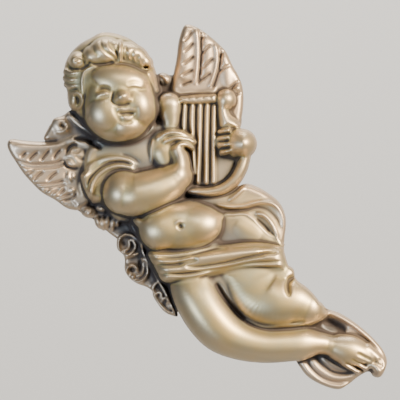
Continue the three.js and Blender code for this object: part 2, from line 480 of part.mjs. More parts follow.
// Hair: a plain cap, a front roll swept back from the parting, a temple curl and tufts
function carveHair() {
  slab([[-51.3, 53.4], [-50.5, 57.6], [-48.2, 61.6], [-44.6, 65], [-40.4, 67.3], [-36.4, 69.3],
    [-31.6, 69.2], [-26, 67.4], [-21.4, 64.4], [-17.8, 60.6], [-15.6, 56.8], [-14.2, 52.8], [-13.2, 48],
    [-13.6, 44], [-22, 36], [-32, 32], [-42, 33], [-47.4, 38.2], [-49.6, 42], [-50, 46], [-51.2, 49.6]],
    [5.5, 14], 4.5);
  dome([-32.6, 50], [18.4, 18.6], 0, [7, 21.4], { power: 2.2, blend: 2, widens: false });
  limb([[-29.6, 60.8, 5, 23.2], [-34.4, 60.9, 5.9, 24.2], [-38.8, 59.2, 4.6, 22.8]], 16, { blend: 2.4 });
  limb([[-26.6, 61, 4.2, 23.2], [-22.4, 60, 4.4, 22.8], [-18.8, 57, 3.4, 20.4]], 14, { blend: 2.4 });
  stroke([[-28.1, 66.4], [-28.5, 61], [-28.1, 56.8]], 1.1, 1.7, 0.15);
  stroke([[-41.2, 57.4], [-38, 55.9], [-34, 56], [-30.8, 57.2]], 1.1, -1.4, 0.2);
  dome([-44.9, 57.6], [3.9, 3.7], 0, [13, 20.4], { power: 2.8, blend: 0.8 });
  for (const [x, z, drop] of [[-47.4, 52.6, 0.2], [-47.6, 50.1, 0.8], [-47.2, 47.6, 1.2]]) {
    limb([[x - 2.8, z + 1, 1.4, 14], [x, z, 1.8, 17.4], [x + 3.2, z + 0.9, 1.4, 18.4 - drop]], 11,
      { blend: 0.6 });
  }
  dome([-46.4, 42.2], [3.2, 4.4], 0, [8, 15], { blend: 1 });
  stroke([[-47.4, 44], [-45.8, 45], [-44, 43.8], [-43.4, 41.6], [-44.2, 39.4],
    [-45.8, 38.8]], 1.1, 1.6, 0.1);
  stroke([[-46.2, 43.4], [-45.2, 42], [-45.6, 40.4]], 1.1, -1.7);
  limb([[-17.4, 52.4, 2, 16], [-16, 49, 1.6, 14], [-14.6, 46, 1.2, 11]], 7);
}

// Chubby infant's face: closed smiling eyes, button nose and small mouth
function carveFace() {
  slab([[-43.4, 46.6], [-43.5, 50.4], [-42.4, 53.5], [-40.4, 55], [-37, 55.4], [-33.2, 55],
    [-30.6, 55.6], [-28.2, 57], [-24.6, 56.6], [-20.6, 54.6], [-17.4, 51], [-15.8, 46], [-15, 40.6],
    [-15.7, 35], [-18.2, 30.2], [-22.6, 26.8], [-28, 25.3], [-32.4, 26.6], [-36.2, 29.8], [-39.6, 34.2],
    [-41.8, 39.6], [-42.9, 43.2]], [13, 22.6], 7, { blend: 1.2 });
  dome([-29, 41], [13.4, 15.4], -10, [16, 26.6], { power: 2.3, blend: 3, widens: false });
  dome([-28.6, 50], [10.8, 5.4], -8, [20, 26.4], { blend: 5, widens: false });
  dome([-34.8, 36.4], [6.4, 6.6], 10, [19, 25.7], { blend: 6, widens: false });
  dome([-20, 39.4], [4.8, 6.6], 10, [19, 25.7], { blend: 6, widens: false });
  dome([-25, 30.8], [5, 3.6], 10, [20, 24.8], { blend: 6, widens: false });
  stroke([[-37.6, 45], [-35.4, 46.3], [-33.4, 46.3], [-31.8, 45.2]], 1.6, -1.1, 0.35);
  stroke([[-38.4, 42.6], [-36.4, 43.9], [-34.2, 44.4], [-32.6, 43.9]], 1.1, 1.1, 0.35);
  stroke([[-38, 41.2], [-35.6, 42.5], [-32.8, 43.1]], 0.9, -1.5, 0.35);
  stroke([[-25.6, 46.8], [-23.4, 47.9], [-20.8, 47.7], [-19, 46.8]], 1.1, 1.1, 0.35);
  stroke([[-25.4, 46], [-22.4, 46.5], [-19.4, 45.8]], 0.9, -1.5, 0.35);
  limb([[-29, 49, 1.9, 25.2], [-28.4, 46.4, 2.5, 26.8], [-27.4, 43.4, 3.5, 30]], 23.5,
    { blend: 1.2, widens: false });
  dome([-29.6, 41.6], [1.8, 1.7], 0, [24, 27.6], { blend: 1.2, widens: false });
  dome([-24.9, 41.9], [1.8, 1.7], 0, [24, 27.8], { blend: 1.2, widens: false });
  for (const [points, halfWidth, rise] of [
    [[[-29.4, 37.8], [-27.8, 38.5], [-26.4, 37.8], [-24.8, 38.3], [-22.8, 37.8]], 1.1, 0.8],
    [[[-29, 36.9], [-27.4, 36.5], [-25.8, 36.8], [-24.2, 36.6], [-22.5, 36.9]], 1.1, -1.5],
    [[[-27.6, 35], [-25.5, 34.7], [-23.2, 35.3]], 1.4, 0.9],
  ]) {
    stroke(points, halfWidth, rise, 0.25);
  }
}

// Value of a map between its nodes
function sampled(map, x, z) {
  const acrossCells = clamp((x - SHEET.x) / CELL, 0, SHEET.cells - 1e-6);
  const upCells = clamp((z - SHEET.z) / CELL, 0, SHEET.cells - 1e-6);
  const [column, row] = [Math.floor(acrossCells), Math.floor(upCells)];
  const [u, v] = [acrossCells - column, upCells - row];
  const low = map[nodeAt(column, row)] * (1 - u) + map[nodeAt(column + 1, row)] * u;
  const high = map[nodeAt(column, row + 1)] * (1 - u) + map[nodeAt(column + 1, row + 1)] * u;
  return low * (1 - v) + high * v;
}

// Where forms overlap, each alone says too little of how far inside a place is, so the
// distance is measured again, to the outline as the nodes outside it see it
function measureInside() {
  const reach = Math.ceil(OUTLINE_REACH / CELL) + 1;
  const asLaid = inside.slice();
  for (let row = reach; row <= SHEET.cells - reach; row += 1) {
    for (let column = reach; column <= SHEET.cells - reach; column += 1) {
      const node = nodeAt(column, row);
      if (asLaid[node] > 0) {
        inside[node] = OUTLINE_REACH;
        for (let up = -reach; up <= reach; up += 1) {
          for (let across = -reach; across <= reach; across += 1) {
            const other = asLaid[nodeAt(column + across, row + up)];
            if (other <= 0) {
              inside[node] = Math.min(inside[node], Math.hypot(across, up) * CELL + other);
            }
          }
        }
      }
    }
  }
}

// Just past the outline the carving carries on level, so that the sides cut it cleanly
function extendPastOutline() {
  const asCarved = carved.slice();
  for (let row = 1; row < SHEET.cells; row += 1) {
    for (let column = 1; column < SHEET.cells; column += 1) {
      const node = nodeAt(column, row);
      if (inside[node] < 0.2 && inside[node] > -2 * OUTLINE_REACH) {
        const slopeX = (inside[node + 1] - inside[node - 1]) / (2 * CELL);
        const slopeZ = (inside[node + nodesAcross] - inside[node - nodesAcross]) / (2 * CELL);
        const push = (0.4 - inside[node]) / Math.max(slopeX * slopeX + slopeZ * slopeZ, 0.3);
        const [x, z] = [SHEET.x + column * CELL, SHEET.z + row * CELL];
        carved[node] = sampled(asCarved, x + push * slopeX, z + push * slopeZ);
      }
      carved[node] = Math.max(carved[node], LOWEST_CARVING);
    }
  }
}

// Right triangles halved again and again where the map bends: each triangle is
// numbered by its way down the tree, and its corners are a, b and the right angle c
function cornersOf(number) {
  let [ax, az, bx, bz, cx, cz] = [0, 0, SHEET.cells, SHEET.cells, SHEET.cells, 0];
  if (number & 1) {
    [ax, az, bx, bz, cx, cz] = [SHEET.cells, SHEET.cells, 0, 0, 0, SHEET.cells];
  }
  for (let way = number >> 1; way > 1; way >>= 1) {
    const [mx, mz] = [(ax + bx) >> 1, (az + bz) >> 1];
    if (way & 1) {
      [bx, bz, ax, az] = [ax, az, cx, cz];
    } else {
      [ax, az, bx, bz] = [bx, bz, cx, cz];
    }
    [cx, cz] = [mx, mz];
  }
  return [ax, az, bx, bz, cx, cz];
}

// For every node, the worst miss of any triangle that leaves it out
function missesOf(map, weightOf) {
  const misses = new Float64Array(map.length);
  const triangles = 2 * SHEET.cells * SHEET.cells - 2;
  const parents = triangles - SHEET.cells * SHEET.cells;
  for (let i = triangles - 1; i >= 0; i -= 1) {
    const [ax, az, bx, bz, cx, cz] = cornersOf(i + 2);
    const middle = nodeAt((ax + bx) >> 1, (az + bz) >> 1);
    const straight = (map[nodeAt(ax, az)] + map[nodeAt(bx, bz)]) / 2;
    misses[middle] = Math.max(misses[middle], Math.abs(map[middle] - straight) * weightOf(middle));
    if (i < parents) {
      const left = misses[nodeAt((ax + cx) >> 1, (az + cz) >> 1)];
      const right = misses[nodeAt((bx + cx) >> 1, (bz + cz) >> 1)];
      misses[middle] = Math.max(misses[middle], left, right);
    }
  }
  return misses;
}

function facetsOf(misses, tolerance) {
  const facets = [];
  const split = (ax, az, bx, bz, cx, cz) => {
    const [mx, mz] = [(ax + bx) >> 1, (az + bz) >> 1];
    if (Math.abs(ax - cx) + Math.abs(az - cz) > 1 && misses[nodeAt(mx, mz)] > tolerance) {
      split(cx, cz, ax, az, mx, mz);
      split(bx, bz, cx, cz, mx, mz);
    } else {
      facets.push([nodeAt(ax, az), nodeAt(bx, bz), nodeAt(cx, cz)]);
    }
  };
  split(0, 0, SHEET.cells, SHEET.cells, SHEET.cells, 0);
  split(SHEET.cells, SHEET.cells, 0, 0, 0, SHEET.cells);
  return facets;
}

const wasm = await Module();
wasm.setup();

function solidOf(geometry) {
  const bare = geometry.clone();
  bare.deleteAttribute('normal');
  bare.deleteAttribute('uv');
  const merged = mergeVertices(bare, 1e-5);
  return new wasm.Manifold(new wasm.Mesh({
    numProp: 3,
    vertProperties: new Float32Array(merged.attributes.position.array),
    triVerts: new Uint32Array(merged.index.array),
  }));
}

// A closed block between a level floor and the facets, frontOf giving their depth
function blockOf(facets, frontOf, floor) {
  const corners = [];
  const rims = new Map();
  const middle = nodeAt(SHEET.cells / 2, SHEET.cells / 2);
  const point = (node, depth) => {
    const [column, row] = [node % nodesAcross, Math.floor(node / nodesAcross)];
    return [(SHEET.x + column * CELL) * UNIT, -depth, (SHEET.z + row * CELL) * UNIT];
  };
  for (const [a, b, c] of facets) {
    for (const node of [a, b, c]) {
      corners.push(...point(node, frontOf(node)));
    }
    for (const [from, to] of [[a, b], [b, c], [c, a]]) {
      if (!rims.delete(`${to},${from}`)) {
        rims.set(`${from},${to}`, [from, to]);
      }
    }
  }
  for (const [from, to] of rims.values()) {
    corners.push(...point(from, frontOf(from)), ...point(from, floor), ...point(to, floor));
    corners.push(...point(from, frontOf(from)), ...point(to, floor), ...point(to, frontOf(to)));
    corners.push(...point(from, floor), ...point(middle, floor), ...point(to, floor));
  }
  const geometry = new THREE.BufferGeometry();
  geometry.setAttribute('position', new THREE.Float32BufferAttribute(corners, 3));
  return solidOf(geometry);
}

function carvedBlock() {
  const slopeAt = (node) => Math.hypot(carved[node + 1] - carved[node - 1],
    carved[node + nodesAcross] - carved[node - nodesAcross]) / (2 * CELL);
  const weight = (node) => (inside[node] > -CELL ? 1 / Math.hypot(1, slopeAt(node)) : 0);
  const facets = facetsOf(missesOf(carved, weight), CARVING_TOLERANCE);
  return blockOf(facets, (node) => depthOf(carved[node]), 0);
}

// The sides lean in by the draft, from the outline on the wall
function outlineBlock() {
  const limited = inside.map((distance) => clamp(distance, -OUTLINE_REACH, OUTLINE_REACH));
  const nearOutline = (node) => (Math.abs(limited[node]) < OUTLINE_REACH ? 1 : 0);
  const facets = facetsOf(missesOf(limited, nearOutline), OUTLINE_TOLERANCE);
  const lowest = -OUTLINE_REACH * UNIT / LEAN - 1;
  return blockOf(facets, (node) => limited[node] * UNIT / LEAN, lowest);
}

// The hole opens at its drawn place in the front and slopes down towards the wall
function nailHole() {
  const length = 3 * RELIEF_DEPTH;
  const hole = new THREE.CylinderGeometry(NAIL_HOLE_DIAMETER / 2, NAIL_HOLE_DIAMETER / 2, length, 20);
  hole.rotateX(-THREE.MathUtils.degToRad(NAIL_HOLE_SLOPE_DEGREES));
  const depth = depthOf(sampled(carved, DRAWN_NAIL_HOLE.x, DRAWN_NAIL_HOLE.z));
  hole.translate(DRAWN_NAIL_HOLE.x * UNIT, -depth, DRAWN_NAIL_HOLE.z * UNIT);
  return solidOf(hole);
}

function geometryOf(solid) {
  const { vertProperties, triVerts } = solid.getMesh();
  const geometry = new THREE.BufferGeometry();
  geometry.setAttribute('position', new THREE.Float32BufferAttribute(vertProperties, 3));
  geometry.setIndex(Array.from(triVerts));
  geometry.computeVertexNormals();
  return geometry;
}

carveGround();
carveRaisedWing();
carveSpreadWing();
carveLeaves();
carveScrolls();
carveRobe();
carveChest();
carveTresses();
carveLyre();
carveFarHand();
carveBelly();
carveLegs();
carveHipBand();
carveNearArm();
carveHair();
carveFace();
measureInside();
extendPastOutline();

const castCherub = carvedBlock().intersect(outlineBlock()).subtract(nailHole());
const antiqueGold = new THREE.MeshStandardMaterial({ color: 0xa08f66, roughness: 0.42, metalness: 0.55 });
const plaque = new THREE.Mesh(geometryOf(castCherub), antiqueGold);
plaque.name = 'cherub_plaque';

const cherubWallPlaque = new THREE.Group();
cherubWallPlaque.add(plaque);

export default cherubWallPlaque;
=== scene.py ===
"""Cherub wall plaque in antique gold: the fine casting, its finish and its stage."""

import bmesh
import bpy
import numpy as np
from bpy.props import FloatProperty, FloatVectorProperty, PointerProperty
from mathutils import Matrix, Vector


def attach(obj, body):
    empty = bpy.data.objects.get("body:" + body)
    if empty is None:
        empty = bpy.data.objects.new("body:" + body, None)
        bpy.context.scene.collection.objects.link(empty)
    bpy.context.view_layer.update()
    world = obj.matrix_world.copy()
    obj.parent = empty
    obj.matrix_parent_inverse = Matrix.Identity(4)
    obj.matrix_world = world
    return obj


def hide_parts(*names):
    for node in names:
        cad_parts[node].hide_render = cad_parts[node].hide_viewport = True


bl_info = {
    "name": "Cherub Wall Plaque",
    "version": (1, 0, 0),
    "blender": (4, 5, 0),
    "location": "View3D > Sidebar > Plaque",
    "description": "Casts a cherub wall plaque in relief and sets up its stage",
    "category": "Object",
}

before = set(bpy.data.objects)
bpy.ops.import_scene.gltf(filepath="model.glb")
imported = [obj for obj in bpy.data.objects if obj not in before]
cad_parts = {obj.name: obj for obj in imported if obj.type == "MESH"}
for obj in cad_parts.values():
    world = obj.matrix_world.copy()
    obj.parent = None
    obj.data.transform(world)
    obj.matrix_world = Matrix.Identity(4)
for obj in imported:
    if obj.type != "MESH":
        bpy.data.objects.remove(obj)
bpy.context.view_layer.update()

# The relief is worked out in millimetres over the wall: x to the right and z up,
# from the origin on the back behind the body. Heights stand out from the wall.
MM = 0.001
SHEET_X, SHEET_Z = (-79.0, 83.0), (-78.0, 78.0)
# How steeply a form drops outside its own foot, and the distance set where nothing is laid
FALL = 5.0
OUTSIDE = -50.0
# Share of a ridge's or groove's width that is left at its ends
END_WIDTH = 0.35
# Widest distance inside the outline that the rim and the draft need
RIM_REACH = 2.4
# Fine creases and broad hollows for the umber with painted crease shade and the worn edges with painted
# highlight: how wide the height is smoothed, and how much each counts
FINE_WIDTH, FINE_WEIGHT = 0.9, 2.0
BROAD_WIDTH, BROAD_WEIGHT = 3.2, 0.14
# Painted shade in deep places: they lie this far below their surroundings, smoothed that wide
PAINTED_SHADE_WIDTH, PAINTED_SHADE_DEPTH = 7.0, 5.0
# Low ground: everything below the first height, fading in over the second
LOW_GROUND_TOP, LOW_GROUND_FADE, LOW_GROUND_WIDTH = 11.5, 5.0, 1.6
# Marks of the sides: a little glaze with painted crease shade, low ground, no painted shade of deep places
SIDE_MARKS = (0.35, 1.0, 0.0)
# Rows of quads down each side, as shares of the way to the wall
SIDE_ROWS = (0.25, 0.6, 1.0)
PHOTO_SIDE_MM = 160.0
PHOTO_CENTRE_MM = (3.2, 2.4)


# Relief: forms laid over a sheet of heights


def curve(points, closed=False, per_span=6):
    """Smooth line through points: each span is the Catmull-Rom cubic of its four
    nearest points, and every further column is carried along with the place."""
    rows = np.array(points, float)
    if closed:
        before, after, last = np.roll(rows, 1, 0), np.roll(rows, -1, 0), np.roll(rows, -2, 0)
    else:
        padded = np.vstack([2 * rows[0] - rows[1], rows, 2 * rows[-1] - rows[-2]])
        before, rows, after, last = padded[:-3], padded[1:-2], padded[2:-1], padded[3:]
    t = (np.arange(per_span) / per_span)[None, :, None]
    p0, p1, p2, p3 = (part[:, None, :] for part in (before, rows, after, last))
    pull, push = (p2 - p0) / 2, (p3 - p1) / 2
    line = ((2 * p1 - 2 * p2 + pull + push) * t ** 3
            + (3 * p2 - 3 * p1 - 2 * pull - push) * t ** 2 + pull * t + p1)
    line = line.reshape(-1, rows.shape[1])
    return line if closed else np.vstack([line, after[-1]])


class Sheet:
    """Two maps over a grid of the wall: height, and distance inside the outline."""

    def __init__(self, step):
        self.step = step
        self.xs = np.arange(*SHEET_X, step)
        self.zs = np.arange(*SHEET_Z, step)
        self.x, self.z = np.meshgrid(self.xs, self.zs)
        self.height = np.zeros(self.x.shape)
        self.inside = np.full(self.x.shape, OUTSIDE)

    def window(self, line, reach):
        """The part of the grid within reach of a line."""
        low = ((line[:, 0].min() - reach - self.xs[0]) / self.step,
               (line[:, 1].min() - reach - self.zs[0]) / self.step)
        high = ((line[:, 0].max() + reach - self.xs[0]) / self.step,
                (line[:, 1].max() + reach - self.zs[0]) / self.step)
        return (slice(max(int(low[1]), 0), max(int(high[1]) + 2, 0)),
                slice(max(int(low[0]), 0), max(int(high[0]) + 2, 0)))

    def nearest(self, part, line):
        """Distance to a line, the share of the way along it, and what it carries there."""
        x, z = self.x[part], self.z[part]
        distance = np.full(x.shape, 1e9)
        along = np.zeros(x.shape)
        carried = np.zeros(x.shape + (line.shape[1] - 2,))
        spans = len(line) - 1
        for i, (a, b) in enumerate(zip(line[:-1], line[1:])):
            dx, dz = b[0] - a[0], b[1] - a[1]
            share = np.clip(((x - a[0]) * dx + (z - a[1]) * dz) / max(dx * dx + dz * dz, 1e-9), 0, 1)
            there = np.hypot(x - a[0] - share * dx, z - a[1] - share * dz)
            nearer = there < distance
            distance = np.where(nearer, there, distance)
            along = np.where(nearer, (i + share) / spans, along)
            carried = np.where(nearer[..., None], a[2:] + share[..., None] * (b[2:] - a[2:]), carried)
        return distance, along, carried

    def lay(self, part, distance_in, height, blend, widens):
        """The higher of the relief so far and a form, rounded where they meet."""
        old = self.height[part]
        gap = np.maximum(blend - np.abs(old - height), 0) / blend
        self.height[part] = np.maximum(old, height) + gap * gap * blend / 4
        if widens:
            self.inside[part] = np.maximum(self.inside[part], distance_in)

    def dome(self, x, z, half_x, half_z, degrees, base, top, power=2.0, blend=0.8, widens=True):
        """Swelling on an oval foot: from base up to top by the root of 1 - q to the power,
        where q is the share of the way from the middle to the rim."""
        part = self.window(np.array([[x, z]]), max(half_x, half_z) + 4)
        c, s = np.cos(np.radians(degrees)), np.sin(np.radians(degrees))
        dx, dz = self.x[part] - x, self.z[part] - z
        u, v = (dx * c + dz * s) / half_x, (dz * c - dx * s) / half_z
        q = np.maximum(np.hypot(u, v), 1e-6)
        distance_in = (1 - q) * q / np.maximum(np.hypot(u / half_x, v / half_z), 1e-9)
        rise = (top - base) * np.sqrt(np.clip(1 - q ** power, 0, 1))
        self.lay(part, distance_in, base + np.where(q < 1, rise, FALL * distance_in), blend, widens)

    def limb(self, stations, base, power=2.0, blend=0.8, widens=True):
        """Rounded limb along stations of x, z, half width and top: across it the height
        goes from base to top by the root of 1 - q to the power."""
        line = curve(stations)
        part = self.window(line, line[:, 2].max() + 4)
        distance, _, carried = self.nearest(part, line)
        half, top = np.maximum(carried[..., 0], 0.05), carried[..., 1]
        q = distance / half
        rise = (top - base) * np.sqrt(np.clip(1 - q ** power, 0, 1))
        height = base + np.where(q < 1, rise, FALL * (half - distance))
        self.lay(part, half - distance, height, blend, widens)

    def slab(self, points, base, top, edge, blend=0.8, widens=True, slope=(0, 0), smooth=True):
        """Flat form inside a closed outline, with a quarter round of the edge's width;
        its top tilts by slope about the middle of its points."""
        line = curve(points, closed=True) if smooth else np.array(points, float)
        ring = np.vstack([line, line[:1]])
        part = self.window(line, 4)
        distance, _, _ = self.nearest(part, ring)
        x, z = self.x[part], self.z[part]
        within = np.zeros(x.shape, bool)
        for a, b in zip(ring[:-1], ring[1:]):
            if a[1] != b[1]:
                crossing = (b[0] - a[0]) * (z - a[1]) / (b[1] - a[1]) + a[0]
                within ^= ((a[1] > z) != (b[1] > z)) & (x < crossing)
        distance_in = np.where(within, distance, -distance)
        tilt = slope[0] * (x - line[:, 0].mean()) + slope[1] * (z - line[:, 1].mean())
        share = np.clip(distance_in / edge, 0, 1)
        rise = (top + tilt - base) * np.sqrt(1 - (1 - share) ** 2)
        self.lay(part, distance_in, base + np.where(within, rise, FALL * distance_in), blend, widens)

    def stroke(self, points, half_width, rise, taper=0.25, sharpness=2):
        """Ridge added along a line, or a groove where the rise is below nought: across it
        (1 - q squared) to the sharpness, fading at both ends over the taper's share of it,
        where q is the distance from the line over the half width."""
        line = curve(points)
        part = self.window(line, half_width * 2)
        distance, along, _ = self.nearest(part, line)
        end = np.clip(np.minimum(along, 1 - along) / taper, 0, 1)
        fade = np.sqrt(end * (2 - end))
        q = distance / (half_width * (END_WIDTH + (1 - END_WIDTH) * fade))
        bump = np.clip(1 - q ** 2, 0, 1) ** sharpness
        self.height[part] += rise * fade * bump

    def strokes(self, lines, taper=0.25):
        """Several ridges or grooves, each with its points, half width and rise."""
        for points, half_width, rise in lines:
            self.stroke(points, half_width, rise, taper)


def shifted(points, dx, dz):
    """The same points moved sideways."""
    return [(x + dx, z + dz) for x, z in points]


# The figure's forms, from the wall outwards


def ground(s):
    """Low ground that ties the figure together behind its deep gaps."""
    s.slab([(-45, 29), (-43, 39), (-30, 46), (-14, 52.6), (-11.4, 53), (-8.6, 52.4), (-4, 52), (8, 50),
        (12, 36), (20, 20), (18, 8), (30, 0), (34, -20), (40, -30), (48, -40), (56, -46), (50, -56),
        (30, -58), (8, -52), (-4, -43), (-9, -41), (-13, -36), (-17, -28), (-25, -12), (-30, -4),
        (-40, 3), (-44, 16)], 3, 4.4, 1)


def raised_wing(s):
    """Upright wing: three long feathers with raised shafts and rising barb cuts."""
    s.slab([(-1.6, 72.6), (2.4, 71.2), (6, 68.8), (10.3, 65.2), (13.8, 61.4), (16, 56.6), (18.6, 52),
        (20.2, 47.5), (20.6, 42), (20, 36), (18.5, 31), (8, 30), (-6, 32), (-9.5, 42), (-8.2, 49),
        (-7.2, 54), (-6.2, 59), (-5.3, 66), (-3.6, 71.3)], 3, 6.2, 2.2, slope=(-0.02, -0.03))
    # Each feather swells gently between its shafts
    s.stroke([(-2.6, 69), (-2.6, 60), (-3.4, 50)], 3.4, 0.8, taper=0.3)
    s.stroke([(5.4, 67), (6, 60), (5.4, 51)], 3, 0.7, taper=0.3)
    s.stroke([(13.2, 60), (13.6, 54), (14, 47)], 3.2, 0.8, taper=0.3)
    shafts = ([(1.6, 71), (2.2, 66), (2.3, 60), (1.9, 54), (1.2, 48.4)],
              [(9.2, 65), (10, 60.4), (9.6, 55.5), (8.2, 50.4), (6.9, 47.2)])
    for shaft in shafts:
        s.stroke(shifted(shaft, -0.1, 0), 1.1, 0.9, taper=0.12)
        s.stroke(shifted(shaft, 1.3, 0), 0.9, -1.3, taper=0.08)
    cuts = ([(-3.4, 65.6), (-1.7, 67.3), (0.3, 70.2)], [(-3.3, 61.3), (-1.1, 63.2), (0.7, 65.2)],
            [(-3.8, 56.4), (-1.1, 58.1), (0.9, 59.9)], [(-4.2, 51.9), (-1.7, 53.1), (0.5, 54.4)],
            [(-4.4, 48), (-2.2, 49), (0.2, 49.8)], [(3.3, 66.5), (4.5, 67.5), (5.8, 69.2)],
            [(3.7, 60.5), (5.5, 62.6), (7.6, 64.4)], [(4.1, 55.1), (6.3, 57), (8.6, 58.9)],
            [(2.8, 49.7), (5.2, 51.3), (7.6, 53.1)], [(10.9, 59.1), (11.8, 60.6), (12.4, 61.8)],
            [(10.7, 53.4), (12.6, 55), (15.2, 56.2)])
    for cut in cuts:
        s.stroke(cut, 0.62, -1.5, taper=0.25)
    s.strokes([
        ([(14.7, 45.4), (15.4, 46.8), (16.8, 48.2), (18.8, 49.9)], 0.8, -1.7),
        ([(15.6, 44.6), (17.2, 44.3), (19.6, 45.4)], 0.7, -1.2),
        ([(17.2, 46.4), (18.4, 47), (19.4, 47.4)], 1.1, 0.6)], taper=0.2)
    s.stroke([(-7.4, 46.4), (-5, 45.2), (-1, 45.4), (4, 45.4), (8, 46.2), (9.8, 47.4)], 0.7, 0.7, taper=0.1)
    s.dome(-11.2, 50.6, 3.2, 2.6, -30, 3, 7.2)
    s.stroke([(-13, 51.6), (-11.4, 50.2), (-10.8, 48)], 0.8, -0.9)


def spread_wing(s):
    """Spread wing: rows of feathers below a smooth leading band and a downy oval."""
    s.slab([(-73.9, 24.8), (-72.4, 26.7), (-67, 26.2), (-60, 25.8), (-54, 26.3), (-48, 27.6), (-43, 27.4),
        (-38.8, 24.6), (-38, 21), (-38, 12), (-40, 2), (-44, -1.2), (-46.6, -1.7), (-50.4, -0.7),
        (-54.6, 2.3), (-60, 5.4), (-64, 9.2), (-67.4, 13), (-70.6, 17.8),
        (-73, 21.6)], 3, 6.6, 2.4, slope=(0.03, 0.0))
    s.stroke([(-71, 23.6), (-64, 23.2), (-56, 23.6), (-50, 24.8)], 2.6, 0.7, taper=0.2)
    # Each row's shaft stands between two dark lines
    rows = ([(-70.8, 18.4), (-66.8, 17.2), (-63.4, 16.7), (-58.8, 16.8), (-54.8, 17.2), (-51.2, 18.5)],
            [(-63.6, 8.8), (-59.9, 8.6), (-55.4, 9), (-50.8, 10.2)],
            [(-55, 3.3), (-52, 3.6), (-49.6, 4.4), (-47.4, 5.3), (-46.8, 7)])
    for row in rows:
        s.stroke(row, 0.65, -1.5, taper=0.08)
        s.stroke(shifted(row, 0.6, -1.5), 0.6, -1.3, taper=0.1)
    barbs = [[(-68.4, 19.4), (-67.2, 20.4), (-66, 21.4)], [(-65.2, 18), (-64, 19.6), (-61.2, 21.8)],
             [(-60.4, 18), (-58.6, 20.2), (-56.4, 22.6)], [(-55.2, 18.6), (-54, 20.8), (-52, 22.8)],
             [(-66.6, 12.3), (-65, 13.2), (-63, 14.4)], [(-63.4, 9.9), (-61.8, 12), (-59, 14)],
             [(-57.8, 9.8), (-56, 12), (-53.4, 13.8)], [(-59.4, 5.2), (-58, 6), (-56.4, 6.9)],
             [(-56.6, 4.2), (-55, 5.8), (-52.8, 7)], [(-53.4, 4.2), (-52, 5.6), (-50.4, 7.1)]]
    for barb in barbs:
        s.stroke(barb, 0.6, -1.5, taper=0.25)
    # Lowest feathers fan out from under the downy oval
    for turn in (196, 208, 220, 232, 244):
        angle = np.radians(turn)
        s.stroke([(-44.6 + 3 * np.cos(angle), 3.6 + 3 * np.sin(angle)),
            (-44.6 + 7.4 * np.cos(angle), 3.4 + 5.4 * np.sin(angle))], 0.6, -1.2, taper=0.3)
    s.limb([(-52, 24.8, 2.4, 6.8), (-47, 26, 2.8, 7.8), (-42, 24.6, 3.2, 8.6),
        (-39.2, 21.6, 2.8, 8.2)], 4.5)
    s.dome(-45.9, 19.2, 5.4, 5.2, 20, 4.5, 8.6, power=3)
    s.strokes([
        ([(-50, 20.6), (-49, 23.2), (-46.8, 24.6), (-45.6, 23.8)], 0.8, -1.5),
        ([(-51, 18.6), (-50, 16), (-47.4, 14.9), (-45, 15.3)], 0.8, -1.4),
        ([(-50.4, 19), (-48, 18.8), (-46.4, 17.4)], 0.7, -0.9),
        ([(-49.8, 17.4), (-48.6, 16.4), (-46.6, 16.2)], 0.9, 0.7),
        ([(-47.8, 21.8), (-45.8, 21.4), (-44, 22.4)], 0.8, -0.8),
        ([(-46.4, 19.8), (-44.2, 18.6), (-42.6, 19.4)], 0.8, -0.8)])
    s.dome(-48.6, 11.6, 2.6, 2.9, 10, 4.5, 8)
    s.strokes([
        ([(-50.2, 13.6), (-50.2, 11.4), (-48.8, 9.4)], 0.6, -0.9),
        ([(-48.2, 13.6), (-48.2, 11.6), (-47.2, 9.6)], 0.6, -0.9)])
    s.dome(-43.9, 7.4, 2.6, 5, 12, 4.5, 8)
    s.strokes([
        ([(-45.2, 11), (-45.4, 7.6), (-44, 4.2)], 0.6, -0.9),
        ([(-43.6, 11.6), (-43.8, 8), (-42.6, 4.6)], 0.6, -0.9)])
    s.dome(-47.6, 6.4, 1.8, 2, 30, 4.5, 7.6)


def leaves(s):
    """Beads and fans that run down from the spread wing."""
    s.slab([(-47, 0), (-44.4, -2.7), (-41.6, -4.6), (-39.4, -5.4), (-38.6, -7.6), (-36.8, -9.2),
        (-34.6, -9.7), (-33, -11), (-31, -12.4), (-28, -14), (-22, -12), (-22, -4), (-30, 2),
        (-42, 3)], 2.4, 4.2, 1.4)
    s.dome(-41.2, -2.3, 3.4, 2.5, -18, 2.6, 7.8)
    s.strokes([
        ([(-43.8, -2.8), (-42.8, -1.5), (-41.6, -0.5)], 0.5, -1.1),
        ([(-42.4, -3.7), (-41.3, -2.1), (-40.1, -1)], 0.5, -1.1),
        ([(-40.8, -4.1), (-39.9, -2.9), (-38.9, -1.9)], 0.5, -1.1)])
    s.dome(-35.8, -0.8, 3.1, 2.1, -12, 2.6, 7.6)
    s.stroke([(-37.6, -0.5), (-35.8, -0.1), (-34.4, -1)], 0.55, -1.0)
    s.stroke([(-34.6, -2.1), (-33.4, -2.3), (-32.4, -1.9)], 0.8, -1.5)
    for x, z, half_x, half_z, turn in ((-37.5, -6.3, 1.4, 2.9, 16), (-35.5, -6.8, 1.4, 3.1, 4),
                                       (-33.6, -6, 1.2, 3.2, -8), (-31.5, -6.6, 1.3, 3.5, -6),
                                       (-29.5, -5.6, 1.2, 3.3, -10)):
        s.dome(x, z, half_x, half_z, turn, 2.8, 7.2, blend=0.4)
        s.stroke([(x - 0.1, z - half_z * 0.6), (x, z), (x + 0.1, z + half_z * 0.5)], 0.4, -0.6)
    s.stroke([(-39, -2.6), (-37.4, -3.4), (-34.4, -3.2), (-31.4, -2.8)], 0.7, 1.1)


